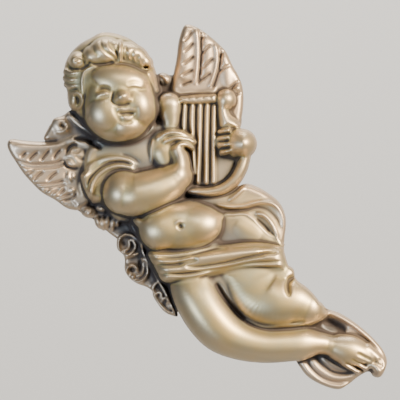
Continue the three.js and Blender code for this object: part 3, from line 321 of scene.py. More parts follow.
def scrolls(s):
    """Openwork scrolls between the waist and the near thigh, and the robe's edge."""
    s.slab([(-30.2, -15), (-29.4, -11.8), (-26.6, -9.6), (-24, -5), (-21.6, -7), (-20, -12), (-17, -18),
        (-13, -24), (-11, -30), (-8.4, -36), (-5.6, -43.6), (-8, -43.8), (-11.2, -42.2), (-13.8, -39),
        (-15.6, -36), (-16, -34), (-18.2, -32.4), (-22, -31), (-25, -28.8), (-26.9, -25.6),
        (-26.9, -21.6), (-27.6, -19.4), (-29.6, -17.6)], 2.2, 3.8, 1.2)
    # Upper scroll: ring, sweep to the robe's edge and inner tongue
    s.strokes([
        ([(-25, -13.2), (-23.4, -14), (-22.6, -16.2), (-23.8, -18.5), (-26.1, -19.4), (-28.6, -18.2),
         (-29.5, -15.6), (-28.9, -12.9), (-26.8, -11.4), (-23.8, -11.9), (-21.2, -14.4),
         (-19.9, -16.8)], 0.85, 2.4),
        ([(-25.4, -13.2), (-24.9, -15.6), (-25.7, -17.2), (-27.3, -17.8)], 0.85, 2.0)], taper=0.06)
    s.strokes([
        ([(-27.4, -14.2), (-27, -15.8)], 0.9, -0.9),
        ([(-23.8, -15.4), (-24.2, -16.8)], 0.7, -0.9)])
    # Middle scroll: ring, lip above, inner hook and the hollow beside its knob
    s.strokes([
        ([(-26.8, -20.4), (-24.1, -20), (-21.2, -18.8)], 0.85, 2.0),
        ([(-19.8, -20.4), (-18.6, -22), (-17.8, -24.4), (-17.8, -26.9), (-19.5, -29.5), (-22.1, -30.4),
         (-24.8, -29.3), (-26.2, -26.9), (-25.6, -24.4), (-23.6, -23.6), (-22, -24.8),
         (-21.7, -26.2)], 0.85, 2.4),
        ([(-22, -27.8), (-20.2, -27.3), (-19.3, -25), (-19.7, -22.4),
         (-20.2, -20.4)], 0.7, 2.0)], taper=0.06)
    s.dome(-23.5, -28.1, 1.1, 1.0, 0, 3, 5.6, blend=0.5, widens=False)
    s.stroke([(-20.7, -21.6), (-20.9, -24), (-21, -26)], 0.7, -1.4)
    s.stroke([(-23.9, -25), (-23.7, -26.4)], 1.2, -1.2)
    # Lower scroll and its curls, then the robe's thin edge beside them all
    s.strokes([
        ([(-13.5, -30), (-15.4, -32), (-15.3, -34.9), (-13.4, -38.7), (-10.2, -42),
         (-7, -43.4)], 0.85, 2.0),
        ([(-14.5, -35.6), (-13.5, -34.3), (-12.2, -34.9), (-12.5, -37.1)], 0.7, 1.8),
        ([(-12.1, -38.2), (-11.1, -36.7), (-9.7, -37.4), (-9.8, -39.6),
         (-8.3, -41.4)], 0.7, 1.8)], taper=0.1)
    s.stroke([(-13.5, -31.4), (-13.5, -32.8)], 0.9, -1.1)
    s.stroke([(-24.5, -4.4), (-23.8, -7.6), (-21.8, -11.6), (-20.1, -14.9), (-19.5, -18.3), (-18, -21.3),
        (-15.5, -25.6), (-13.5, -29.6), (-10.9, -33.8), (-8.6, -38.9), (-6.6, -43)], 0.85, 2.8, taper=0.04)


def robe(s):
    """Swag of cloth behind the hip, and the cloth that trails round the foot."""
    s.slab([(8, 4.6), (14, 5.6), (21, 8.9), (26, 7.7), (30.4, 5.2), (34.4, 2), (36.8, -2), (37.6, -7),
        (37, -13), (36.9, -18), (38.4, -23.4), (40.4, -28), (40, -32), (30, -36), (10, -30), (-4, -20),
        (0, -4), (-4, 3)], 3, 9.2, 2.4, slope=(-0.02, 0))
    s.stroke([(9, 0.9), (15, -0.3), (20.4, 0), (24, 1), (28, 1.7), (32.2, 0.9), (35, -1.6), (36.6, -5.4),
        (37, -9.4), (36.4, -14)], 1.2, 1.6, taper=0.12)
    s.stroke([(14.6, 2), (18, 4.6), (21.4, 8.4)], 1.2, 1.0, taper=0.2)
    s.stroke([(25.4, -2.8), (28.4, -3.6), (31.2, -6.2), (33, -9.4), (34.2, -13)], 1.2, 1.8, taper=0.2)
    s.stroke([(12.4, -3.5), (16.6, -3.4), (21, -3.3), (24.4, -5.4), (27.6, -8.6), (30.4, -11.4),
        (33.4, -13), (36.2, -15.4)], 1.0, 1.3, taper=0.06)
    s.stroke([(12.2, -1.9), (17, -1.9), (22, -1.5), (26, -0.6), (30, -1.6), (33.6, -5),
        (35.2, -9)], 1.2, -1.1, taper=0.2)
    s.stroke([(25.4, -5), (28.6, -7.6), (31, -10.4)], 1.2, -0.8, taper=0.3)
    s.slab([(10, -3.4), (15, -3.4), (20, -3.4), (23.4, -5), (26.6, -7.4), (29.8, -10.6), (33, -13),
        (37, -16), (26, -19), (16, -19), (9, -18)], 8, 10.4, 1.6, blend=0.8)
    s.stroke([(17, -7), (22, -10), (27, -13)], 5, 0.7, taper=0.4)
    s.slab([(-24.2, -5), (-21, -12), (-17, -19), (-14, -24), (-10, -26), (-12, -10),
        (-18, -4)], 3, 6.2, 1.4)
    s.slab([(50, -38.6), (54, -41), (59.6, -43.1), (66, -47.2), (72, -52.4), (76.4, -57.6), (78, -62.2),
        (76.8, -66.4), (75, -68.5), (72.6, -68.2), (70.6, -66.2), (66.6, -68.2), (62.4, -71.4),
        (58.6, -73.3), (53, -72), (47, -68.8), (43.6, -65), (41.4, -60), (44, -50)], 3, 5.6, 1.8)
    s.stroke([(52, -41.6), (58, -43.6), (65, -47.8), (71.6, -53.2), (76, -58.8),
        (77, -62.8)], 1.5, 1.6, taper=0.1)
    s.stroke([(52.4, -46.2), (57, -47.4), (61.6, -49.6)], 2.6, -2.8, taper=0.45, sharpness=1)
    s.strokes([
        ([(43.4, -62), (46.6, -66.4), (52, -70.4), (58.4, -72.2), (63, -70.4)], 2.0, 0.7),
        ([(47, -60.8), (50.4, -65), (56, -68.2), (62, -68.4), (68, -66.2)], 2.0, 0.9),
        ([(51.4, -59.8), (55, -63), (60, -65), (65.4, -64.8)], 2.0, 0.8),
        ([(45.2, -60.6), (48, -64.8), (52.6, -69), (58.6, -70.4), (64.4, -69.2)], 1.0, -0.7),
        ([(49.4, -59.8), (52.6, -63.4), (57, -66.4), (63.6, -66.8)], 1.0, -0.7)], taper=0.15)


def chest(s):
    """Chest and neck with the folds round the neck."""
    s.slab([(-44, 14), (-43, 22), (-38, 28), (-30, 30), (-14, 34), (-6, 34), (-2, 26), (0, 10), (-6, -2),
        (-20, -6), (-30, -6), (-36, 0), (-40, 1), (-43, 6)], 3.5, 10.4, 3.4)
    s.dome(-24, 20, 14, 10, 0, 8, 12.8, blend=2.4, widens=False)
    s.stroke([(-30, 24.9), (-25, 25.2), (-20, 27.2), (-16.4, 30.2), (-14.6, 34)], 0.9, 1.8, taper=0.15)
    s.stroke([(-15.9, 17), (-16.2, 22), (-15.6, 27)], 0.7, 1.1)
    s.stroke([(-28, 20.6), (-24, 19.4), (-20.6, 17)], 0.8, -0.8)


def tresses(s):
    """Loose locks at the lower left of the head."""
    s.slab([(-58.6, 26), (-57.6, 31), (-55, 34.4), (-51.4, 36.4), (-48, 38.4), (-44, 36), (-38, 31),
        (-34, 26), (-38, 23), (-46, 26)], 3, 6.4, 2)
    s.dome(-51.8, 31.6, 4.8, 3.6, -35, 5, 8)
    s.stroke([(-52.4, 32.6), (-51.4, 32), (-50.6, 31.4)], 1.2, -1.7)
    s.stroke([(-54.4, 34), (-52, 34.6), (-49.8, 33.4)], 0.8, 0.5)
    s.stroke([(-54.8, 29.4), (-51.8, 29.4), (-49.2, 30.8)], 0.9, 0.8)
    for k in (0, 1.5, 3, 4.5):
        s.stroke([(-49.6 + k, 37.2 - k * 0.4), (-46.4 + k, 33 - k * 0.3), (-42.4 + k, 30 - k * 0.5),
            (-38 + k * 0.6, 26.6 - k * 0.2)], 0.75, 1.5, taper=0.2)
    s.stroke([(-47, 26.9), (-42, 26.6), (-38.4, 24.2), (-36, 23)], 1.3, -2.2, taper=0.2)


def lyre(s):
    """Lyre: a ground, two horns, a crossbar with pegs, five strings and a bowl."""
    s.slab([(-6, 42), (10, 44), (12, 36), (20, 24), (21, 14), (14, 6.6), (2, 6), (-3, 10),
        (-5, 26)], 5, 8.6, 1)
    s.limb([(-9.3, 39.9, 5.3, 13.4), (-9, 36.6, 4.7, 13), (-8.6, 33.6, 3.7, 12.4),
        (-9, 30, 3.2, 12)], 7, power=2.6)
    s.stroke([(-13.2, 40), (-12.2, 43), (-9.4, 44.3), (-6, 43.2)], 0.6, 0.5)
    # Right horn: a broad flank below a rounded head, with a notch at the wing's side
    s.slab([(9.8, 42.6), (10.4, 45.2), (13, 46.4), (15.8, 45.8), (17.3, 43.2), (16.9, 40.8), (15.2, 39.4),
        (14.9, 38.2), (15.6, 36.4), (17.6, 34.6), (19.4, 32), (18, 30.4), (11.6, 30.4), (10.4, 34),
        (9.9, 38.6)], 7, 12.6, 4.2)
    s.dome(13.5, 42.3, 3.9, 4.1, 0, 8, 13.2, blend=1.4, widens=False)
    s.stroke([(15.5, 39.8), (16.4, 39.5)], 1.1, -1.8, taper=0.3)
    s.slab([(-5.4, 40.6), (-5.2, 43.3), (2, 44), (9.8, 44.6), (9.8, 41),
        (2, 40.4)], 8, 11.6, 1.1, smooth=False)
    s.stroke([(-6, 44.2), (-2.4, 43.6), (2.4, 44.4), (7, 45), (9.8, 46.2)], 0.7, 1.2, taper=0.1)
    for i in range(4):
        s.stroke([(-1.9 + i * 2.95, 42.7 + 0.2 * i), (-1.2 + i * 2.95, 42.7 + 0.2 * i)], 0.6, -0.9)
    for line in ([(-2.9, 40.6), (-3.2, 34), (-3.4, 27)], [(0.2, 40.6), (0, 33), (0.4, 24), (0.9, 12)],
                 [(3.2, 40.6), (3.1, 33), (2.8, 22), (2.2, 8.6)],
                 [(6.1, 40.6), (5.9, 33), (5.7, 20), (5.5, 8.4)],
                 [(8.9, 40.6), (8.7, 33), (8.6, 20), (8.6, 8.4)]):
        s.stroke(line, 1.25, 2.0, taper=0.03)
    s.limb([(-2.6, 6.2, 1.3, 10.4), (2, 5.8, 1.8, 12.4), (7.4, 5.7, 2.3, 13), (12.6, 7.2, 2.6, 13.2),
        (16.8, 10.4, 2.7, 13.4), (19.4, 14.6, 2.7, 13.4), (20.8, 18.6, 2.5, 13),
        (21.4, 22, 2.5, 13)], 6.4, power=2.4)
    s.stroke([(2, 7.7), (7, 7.6), (11.4, 9), (15, 11.9), (17, 15.4), (17.4, 17.6)], 0.8, -2.2, taper=0.1)


def far_hand(s):
    """Far fist round the lyre, with its four fingers."""
    s.limb([(14, 25.6, 5.2, 13.8), (17, 25.2, 6.2, 17), (20, 24.9, 6, 19)], 5.5, blend=2.4)
    for i, (x, z) in enumerate(((11.4, 29.8), (11, 27), (11.2, 24.3), (12, 21.7))):
        s.limb([(x, z - 0.4, 1.3, 12.6), (x + 1.6, z, 1.5, 14.4), (x + 3.2, z + 0.3, 1.3, 14.8)], 8,
            blend=0.7)
        if i:
            s.stroke([(x - 1.2, z + 1.3), (x + 1.2, z + 1.4), (x + 3.8, z + 1.8)], 0.7, -1.9, taper=0.25)


def belly(s):
    """Round belly with its navel and the thin raised rim of cloth round it."""
    s.slab([(-19, -3), (-8, 1), (4, 0), (9, -6), (10, -13), (18, -16.6), (30, -17.6), (35, -21),
        (34, -25), (8, -26), (-8, -27), (-15, -20), (-20, -10)], 8, 14, 4, blend=2, widens=False)
    s.slab([(-23.4, -5), (-16, -3.6), (-8.8, -0.2), (-3.6, 2), (1.6, 1.7), (5.6, 0.1), (9.6, -2),
        (12.3, -3.8), (11.7, -6.8), (10.9, -10), (9.2, -12.8), (4.8, -15.7), (-0.8, -17.3), (-8.8, -18.3),
        (-14.6, -18.9), (-18, -14.8), (-20, -10.4)], 10, 16.6, 3, blend=1.6)
    s.dome(-5, -8.2, 16, 9.6, -1, 12, 21.8, power=2.5, blend=3, widens=False)
    s.dome(-12.4, -9.8, 7.8, 7.4, 0, 14, 20.9, blend=4, widens=False)
    s.dome(3.6, -7.4, 7.8, 7, 0, 14, 21.2, blend=4, widens=False)
    s.stroke([(-21, -4.8), (-14.4, -2.8), (-8.8, 0), (-3.6, 2), (1.6, 1.6), (5.6, 0), (9.6, -2.1),
        (12.2, -3.9), (11.5, -6.8), (10.7, -10), (9, -12.7), (4.7, -15.5), (-0.8, -17.1), (-8.8, -18),
        (-14.4, -18.7)], 0.8, 0.9, taper=0.05)
    s.stroke([(-6.6, -7.2), (-5.4, -6), (-3.6, -6.4)], 1.0, 0.35)
    s.stroke([(-5.6, -7.4), (-4.6, -7.9), (-3.8, -8.8)], 1.6, -1.5, taper=0.4)


def hip_band(s):
    """Cloth wound round the hips: one broad fold between bundles of narrow ones."""
    s.slab([(-17, -18.2), (-8, -17.6), (0, -16.4), (8, -15.6), (16, -14.9), (22, -14.4), (29, -14.7),
        (35.6, -16.2), (37.2, -19.4), (38, -24), (37, -26.4), (33, -26.6), (26, -26.3), (19, -26.7),
        (11, -27.9), (4, -29.6), (-4, -30.4), (-11, -30), (-14.4, -25)], 10, 19.2, 5, slope=(-0.04, 0.0),
        blend=1.6)
    s.strokes([
        ([(-17, -19.2), (-8.8, -19.1), (-2.4, -18.3), (3.2, -16.9), (9.6, -15.3)], 1.8, 0.6),
        ([(-16.6, -21.6), (-8.8, -21.8), (-4, -21.3), (0.4, -20.2)], 1.8, 0.6),
        ([(-4.8, -23), (3.2, -20.9), (11.2, -19.5), (20, -17.8), (27.2, -17.2)], 3.4, 0.9),
        ([(-15, -25.4), (-4.8, -25.2), (1.6, -24.8), (8.8, -24), (15.2, -23.2), (23.2, -21.6),
         (31.2, -20.8), (37, -21.2)], 1.8, 0.6),
        ([(-13.6, -28.3), (-2.4, -28), (4, -26.9), (10.4, -25.4), (18.4, -24.2), (26.4, -23.3),
         (37, -23.2)], 1.8, 0.6),
        ([(15.8, -15.8), (23.2, -15), (29.6, -15.3), (36, -17.2)], 1.4, 0.7),
        ([(28, -19.8), (33, -19.2), (37, -20)], 1.2, 0.6)], taper=0.12)
    s.strokes([
        ([(-17, -20.3), (-7.2, -20.5), (-0.8, -19.6), (4, -18.4), (9.6, -17.1), (14.4, -16.9)], 1.1, -1.8),
        ([(-16, -23), (-8.8, -23.3), (-4.8, -22.8), (-1.6, -21.9), (2.4, -21)], 1.2, -1.9),
        ([(-2.4, -24), (3.2, -24), (7.2, -23.5), (13.6, -22.4), (20, -20.8), (26.4, -19.3), (30.4, -18.6),
         (34, -18.7)], 1.1, -2.0),
        ([(-14, -26.8), (-4, -26.8), (2.4, -26), (9.6, -25), (17, -23.8), (25, -22.4),
         (35, -22)], 1.1, -1.9),
        ([(2.4, -28.6), (8, -26.6), (15, -25.3), (24, -24.2), (36, -24.3)], 0.9, -1.2),
        ([(15, -16.6), (22, -16.1), (30, -16.2), (36, -18)], 0.9, -1.2)], taper=0.2)


def legs(s):
    """Far thigh drawn up with its knee, near thigh and shin crossing below, and the foot."""
    s.slab([(-6, -24), (10, -22), (28, -22), (42, -27), (50, -37), (52.6, -43), (48, -47.4), (36, -52),
        (22, -50), (10, -42), (-2, -34)], 9, 14.6, 6, blend=2, widens=False)
    s.slab([(11.8, -26), (14.4, -32.4), (17.6, -38.6), (21.6, -43.6), (26.4, -46.8), (32, -47.7),
        (41, -47.2), (48.6, -46), (52.8, -43.4), (51.7, -40), (49.6, -36.4), (46, -32.6), (41.6, -29.2),
        (39, -24), (24, -22)], 11, 16.2, 5, blend=3)
    s.limb([(22, -24, 8, 15), (23.6, -30, 9.4, 18.4), (27.4, -35.6, 10.4, 20.8), (33, -37.6, 10.2, 21.8),
        (40.4, -38.4, 8.6, 21), (45.8, -40.2, 6.2, 19)], 12.4, power=2.2, blend=3, widens=False)
    s.slab([(30, -20), (40, -20), (44, -27), (48.4, -31.6), (51, -36), (50, -41),
        (36, -44)], 11, 15.4, 7, blend=2, widens=False)
    s.stroke([(41.4, -27.6), (39, -29.2), (37.9, -31.6), (38.4, -35.6)], 1.8, -2.2, taper=0.35)
    s.limb([(-1, -24.6, 8.6, 15), (0, -29.4, 9.3, 18.2), (2.0, -35.6, 9.6, 20.8), (6.4, -43, 9.9, 22),
        (12.2, -49.4, 9.6, 21.6), (20, -53.4, 8.4, 20.2), (29, -55.2, 7.6, 19), (38, -55.0, 7.3, 18),
        (44.6, -54.5, 6.9, 16.8), (50.2, -54.6, 4.8, 14.4), (54, -55.2, 4.2, 12.6)], 6.4, power=2.4,
        blend=1.4)
    s.stroke([(21, -44.6), (26.4, -47.3), (31.2, -48), (37.9, -47.4), (44.5, -46.7), (49.2, -45.7),
        (51.9, -44.6), (54.4, -42.8)], 0.9, 1.4, taper=0.2)
    s.stroke([(9.4, -30.4), (12.2, -35.6), (16, -40.6), (20.8, -45.2)], 1.9, -1.6, taper=0.25)
    s.limb([(54, -55.4, 4.1, 12), (57.9, -56.3, 5.6, 13), (62.5, -57.6, 6.5, 13.4),
        (67, -58.9, 5.6, 12.4), (70.6, -60.2, 3.8, 10.6)], 4, power=2.3, blend=1.4)
    s.limb([(69.6, -56.8, 2.6, 10.6), (73, -59.8, 2.5, 10.2), (75.6, -63.2, 2.0, 9.6),
        (74.6, -66.6, 1.8, 9.2)], 4)
    s.limb([(70, -63.6, 1.6, 9), (72.4, -63.4, 1.8, 10), (74.4, -65.6, 2.0, 10.6),
        (74, -67, 1.6, 9.4)], 4, blend=0.6)
    for x0, z0, x1, z1, half in ((66.4, -59.6, 71.4, -62.4, 1.5), (64, -61.6, 69.2, -64.6, 1.4),
                                 (61.4, -63.2, 66.4, -66, 1.3)):
        s.limb([(x0 - 2, z0 + 1.4, half, 10.6), (x0, z0, half, 11), (x1, z1, half * 0.9, 9.2)], 4,
            blend=1.4)
    s.strokes([
        ([(65.6, -58.4), (68.8, -60.2), (71.6, -61.6)], 0.8, -0.9),
        ([(63.2, -60.6), (66.8, -62.6), (70, -63.8)], 0.9, -1.1),
        ([(60.6, -62.4), (63.6, -64), (67.2, -65.6)], 0.9, -1.1),
        ([(74.4, -60.6), (75.6, -62.4), (75.4, -64.4)], 0.9, -1.2)])


def near_arm(s):
    """Sleeve, near arm, and the near hand laid on the strings."""
    s.slab([(-44.6, 12), (-41, 15.4), (-36, 19), (-30, 20.4), (-24, 19), (-20, 15), (-24, 6), (-34, 2),
        (-38.4, 1.6), (-42, 4)], 5, 12.4, 3, blend=1.4)
    s.strokes([
        ([(-43.4, 10), (-42, 13.6), (-38.8, 17), (-34.6, 18.7), (-29.8, 19), (-25.4, 18),
         (-22.4, 16)], 1.8, 1.3),
        ([(-40, 2.6), (-39.8, 7.6), (-37.6, 11.8), (-33.6, 14.8), (-29.4, 15.9), (-25.5, 15.5),
         (-22.4, 14.2)], 1.7, 1.6),
        ([(-41.6, 6), (-40.6, 10.8), (-37, 14.8), (-33, 16.8), (-28, 17.5),
         (-23.4, 16.4)], 0.9, -1.2)], taper=0.12)
    s.limb([(-26.8, 5.4, 8.8, 22.6), (-22, 4.6, 8.9, 24), (-15.6, 6.2, 8.5, 23.8), (-9.4, 9, 7.4, 22.4),
        (-5.6, 12, 5.7, 21)], 11, power=2.1, blend=2)
    s.limb([(-5.8, 11, 5.4, 20.4), (-4.6, 15, 4.2, 19.6), (-4.6, 18.6, 3.5, 18.4),
        (-5.6, 21.8, 3.2, 17.4)], 10, blend=2)
    s.dome(-10.4, 23.2, 6.8, 7, 10, 8, 14, blend=6)
    s.limb([(-10.8, 20.6, 4.6, 13.6), (-9.4, 15.6, 4.8, 15)], 8, blend=5)
    fingers = (((-13, 26.8, 1.9, 14), (-9, 28.9, 1.9, 15.4), (-5, 28.7, 1.7, 15), (-0.9, 27.1, 1.3, 13)),
               ((-10.4, 25.6, 1.9, 15.4), (-6.4, 26.9, 1.7, 16.2), (-2.8, 26.6, 1.5, 15.2),
                (0.4, 25.4, 1.2, 13.4)),
               ((-6.2, 22.6, 2, 16.8), (-4.8, 24.3, 1.8, 16.8), (-2.4, 24.4, 1.5, 15.8),
                (-0.4, 23.2, 1.1, 13.8)))
    for finger in fingers:
        s.limb(finger, 10, blend=1)
    s.strokes([
        ([(-11.4, 27.4), (-7.8, 28.1), (-4, 27.8), (-1, 26.4)], 0.6, -0.8),
        ([(-8, 25.2), (-5, 25.8), (-2, 25.7), (0, 24.8)], 0.6, -0.9),
        ([(-3.4, 22.6), (-2, 22.8), (-0.6, 22.2)], 0.9, -1.3)])


def hair(s):
    """Hair: a plain cap, a front roll swept back from the parting, a temple curl and tufts."""
    s.slab([(-51.3, 53.4), (-50.5, 57.6), (-48.2, 61.6), (-44.6, 65), (-40.4, 67.3), (-36.4, 69.3),
        (-31.6, 69.2), (-26, 67.4), (-21.4, 64.4), (-17.8, 60.6), (-15.6, 56.8), (-14.2, 52.8),
        (-13.2, 48), (-13.6, 44), (-22, 36), (-32, 32), (-42, 33), (-47.4, 38.2), (-49.6, 42), (-50, 46),
        (-51.2, 49.6)], 5.5, 14, 4.5)
    s.dome(-32.6, 50, 18.4, 18.6, 0, 7, 21.4, power=2.2, blend=2, widens=False)
    s.limb([(-29.6, 60.8, 5.0, 23.2), (-34.4, 60.9, 5.9, 24.2), (-38.8, 59.2, 4.6, 22.8)], 16, blend=2.4)
    s.limb([(-26.6, 61, 4.2, 23.2), (-22.4, 60, 4.4, 22.8), (-18.8, 57, 3.4, 20.4)], 14, blend=2.4)
    s.strokes([
        ([(-28.1, 66.4), (-28.5, 61), (-28.1, 56.8)], 0.6, 1.7),
        ([(-27, 65), (-27.3, 61), (-26.9, 57.6)], 0.7, -1.3),
        ([(-29.3, 64.6), (-29.6, 61), (-29.3, 58)], 0.5, -0.9)], taper=0.15)
    # Curls that sweep down to the parting from the left, then the short locks on its right
    s.strokes([
        ([(-32.6, 66), (-32.2, 63.6), (-30.6, 61.6), (-29, 59.6), (-28.8, 57.6)], 0.6, -1.3),
        ([(-31.2, 65.4), (-31.4, 63.8), (-30, 62.6), (-29.2, 61.4)], 0.5, -0.8),
        ([(-36, 65.6), (-35.6, 63), (-33.4, 60.4), (-31, 58.8), (-29.6, 57)], 0.6, -1.1),
        ([(-38.8, 63.4), (-38.6, 61.4), (-36.8, 59)], 0.6, -0.6),
        ([(-30.4, 64.6), (-29.6, 62.8), (-30.2, 61.6)], 0.7, 0.7),
        ([(-33.8, 65), (-33.2, 62.6), (-31.4, 60.6)], 0.8, 0.6),
        ([(-25.8, 63.6), (-26.1, 60.7), (-25.4, 57.8)], 0.8, -1.1),
        ([(-23.2, 61.8), (-23.8, 59.4), (-23.1, 57.3)], 0.8, -0.9),
        ([(-20.9, 59.9), (-21.5, 58), (-20.8, 56.4)], 0.8, -0.8),
        ([(-18.8, 58), (-19.4, 56.7), (-19.1, 55.7)], 0.7, -0.5)])
    s.stroke([(-41.2, 57.4), (-38, 55.9), (-34, 56), (-30.8, 57.2)], 0.9, -1.4, taper=0.2)
    s.dome(-44.9, 57.6, 3.9, 3.7, 0, 13, 20.4, power=2.8, blend=0.8)
    s.strokes([
        ([(-47.8, 58.8), (-46, 60), (-43.6, 59.6), (-42.2, 57.8), (-42.8, 55.8)], 0.6, -0.9),
        ([(-46.6, 57.2), (-45.2, 58), (-43.8, 57.6), (-44.2, 56.4), (-45.6, 56)], 0.6, -1.2),
        ([(-46.4, 54.4), (-44.2, 54), (-41.4, 55.4), (-40.2, 57.2)], 0.7, -1.3)], taper=0.2)
    # Tufts at the temple, from the highest to the lowest
    for x, z, drop in ((-47.4, 52.6, 0.2), (-47.6, 50.1, 0.8), (-47.2, 47.6, 1.2)):
        s.limb([(x - 2.8, z + 1.0, 1.4, 14), (x, z, 1.8, 17.4), (x + 3.2, z + 0.9, 1.4, 18.4 - drop)], 11,
            blend=0.6)
        s.stroke([(x - 2, z + 1.2), (x + 0.6, z + 0.4), (x + 2.8, z + 1.2)], 0.4, -0.5)
    s.dome(-46.4, 42.2, 3.2, 4.4, 0, 8, 15, blend=1)
    s.stroke([(-47.4, 44), (-45.8, 45), (-44, 43.8), (-43.4, 41.6), (-44.2, 39.4),
        (-45.8, 38.8)], 0.75, 1.6, taper=0.1)
    s.stroke([(-46.2, 43.4), (-45.2, 42), (-45.6, 40.4)], 0.9, -1.7)
    s.stroke([(-42.8, 44.6), (-42.2, 41.8), (-42.6, 39.4)], 0.5, -0.8)
    s.stroke([(-49.4, 45.8), (-46.8, 46.3), (-44.8, 46.2)], 0.8, -0.9)
    s.limb([(-17.4, 52.4, 2.0, 16), (-16, 49, 1.6, 14), (-14.6, 46, 1.2, 11)], 7)
    for k in (0, 1.7):
        s.stroke([(-17 + k, 53.4), (-16 + k, 49.6), (-14.8 + k * 0.7, 46.4)], 0.6, 0.8)


def face(s):
    """Chubby infant's face: closed smiling eyes, button nose and small mouth."""
    s.slab([(-43.4, 46.6), (-43.5, 50.4), (-42.4, 53.5), (-40.4, 55), (-37, 55.4), (-33.2, 55),
        (-30.6, 55.6), (-28.2, 57), (-24.6, 56.6), (-20.6, 54.6), (-17.4, 51), (-15.8, 46), (-15, 40.6),
        (-15.7, 35), (-18.2, 30.2), (-22.6, 26.8), (-28, 25.3), (-32.4, 26.6), (-36.2, 29.8),
        (-39.6, 34.2), (-41.8, 39.6), (-42.9, 43.2)], 13, 22.6, 7, blend=1.2)
    s.dome(-29, 41, 13.4, 15.4, -10, 16, 26.6, power=2.3, blend=3, widens=False)
    s.stroke([(-42.6, 42), (-43.4, 46.4), (-43.4, 50.4), (-42, 53.8), (-37, 55.4), (-32.6, 55),
        (-28.4, 57), (-24.6, 56.5), (-20.6, 54.5), (-17.6, 51), (-15.9, 46)], 0.6, 0.8, taper=0.1)
    s.dome(-28.6, 50, 10.8, 5.4, -8, 20, 26.4, blend=5, widens=False)
    s.dome(-34.8, 36.4, 6.4, 6.6, 10, 19, 25.7, blend=6, widens=False)
    s.dome(-20, 39.4, 4.8, 6.6, 10, 19, 25.7, blend=6, widens=False)
    s.dome(-25, 30.8, 5, 3.6, 10, 20, 24.8, blend=6, widens=False)
    # Left eye: hollow below the brow, lid, slit and the fold under it
    s.strokes([
        ([(-37.6, 45), (-35.4, 46.3), (-33.4, 46.3), (-31.8, 45.2)], 1.6, -0.9),
        ([(-37.8, 42.6), (-35.6, 44), (-33, 44.4)], 1.9, 0.6),
        ([(-38, 41.6), (-35.6, 42.8), (-32.8, 43.2)], 0.6, -0.65),
        ([(-36.4, 40.6), (-34.8, 41.3), (-33, 41.7)], 1.1, 0.2)], taper=0.35)
    # Right eye: the same in thinner folds, as it turns away
    s.strokes([
        ([(-25.4, 47.6), (-22.6, 48.7), (-19.6, 47.8)], 1.9, -0.4),
        ([(-25.6, 46.8), (-23.4, 47.7), (-20.8, 47.5), (-19, 46.6)], 0.9, 0.3),
        ([(-25.4, 46), (-22.4, 46.5), (-19.4, 45.8)], 0.5, -0.6),
        ([(-24.8, 45), (-22.2, 45.4), (-19.8, 44.8)], 0.9, 0.25)], taper=0.35)
    s.limb([(-29, 49, 1.9, 25.2), (-28.4, 46.4, 2.5, 26.8), (-27.4, 43.4, 3.5, 30)], 23.5, blend=1.2,
        widens=False)
    s.dome(-29.6, 41.6, 1.8, 1.7, 0, 24, 27.6, blend=1.2, widens=False)
    s.dome(-24.9, 41.9, 1.8, 1.7, 0, 24, 27.8, blend=1.2, widens=False)
    s.strokes([
        ([(-30.9, 45.4), (-31.3, 43), (-31, 41), (-30, 39.8)], 0.8, -0.9),
        ([(-30.4, 39.9), (-28.4, 39.5), (-26.2, 39.7), (-24.2, 40.8)], 0.6, -1.0),
        ([(-30.8, 39.2), (-30, 36.8), (-28.8, 34.4), (-26.4, 32.2)], 1.1, -0.4),
        ([(-22, 39.2), (-21.5, 37.2), (-21.6, 34.8)], 1.1, -0.4)])
    # Upper lip in two wings, the slit below it and a full lower lip
    s.strokes([
        ([(-29.2, 37.6), (-27.8, 38.4), (-26.4, 37.7), (-24.8, 38.2), (-22.8, 37.7)], 1.1, 0.5),
        ([(-29, 36.7), (-27.4, 36.3), (-25.8, 36.6), (-24.2, 36.4), (-22.2, 36.7)], 0.7, -1.5),
        ([(-27.6, 34.8), (-25.3, 34.5), (-23, 35.1)], 1.3, 0.7),
        ([(-27, 33), (-25, 32.7), (-23.2, 33.3)], 0.9, -0.6)], taper=0.22)


FORMS = (ground, raised_wing, spread_wing, leaves, scrolls, robe, chest, tresses, lyre, far_hand, belly,
         legs, hip_band, near_arm, hair, face)


# From the sheet to a closed casting


def blurred(values, radius, step):
    """A map smoothed by a bell curve of that radius, along rows and then columns."""
    reach = int(np.ceil(2.5 * radius / step))
    weights = np.exp(-0.5 * (np.arange(-reach, reach + 1) * step / radius) ** 2)
    weights /= weights.sum()
    for axis in (0, 1):
        edges = [(reach, reach) if axis == k else (0, 0) for k in (0, 1)]
        wide = np.pad(values, edges, mode="edge")
        length = values.shape[axis]
        values = sum(w * np.take(wide, range(i, i + length), axis) for i, w in enumerate(weights))
    return values


def softened(sheet, radius):
    """The height blurred as cast detail is, each place weighing only what is inside."""
    mask = (sheet.inside > -0.5).astype(float)
    mean = blurred(sheet.height * mask, radius, sheet.step) / np.maximum(
        blurred(mask, radius, sheet.step), 1e-6)
    return np.where(mask > 0, mean, sheet.height)


def true_inside(sheet, reach):
    """Distance inside the whole outline up to a reach: the least over near places
    outside it of the way there plus what they miss."""
    laid = sheet.inside
    result = np.where(laid > 0, reach, laid)
    cells = int(np.ceil(reach / sheet.step)) + 1
    wide = np.pad(laid, cells, constant_values=OUTSIDE)
    rows, columns = laid.shape
    for up in range(-cells, cells + 1):
        for across in range(-cells, cells + 1):
            other = wide[cells + up:cells + up + rows, cells + across:cells + across + columns]
            way = np.hypot(up, across) * sheet.step + other
            result = np.where((laid > 0) & (other <= 0), np.minimum(result, way), result)
    return result


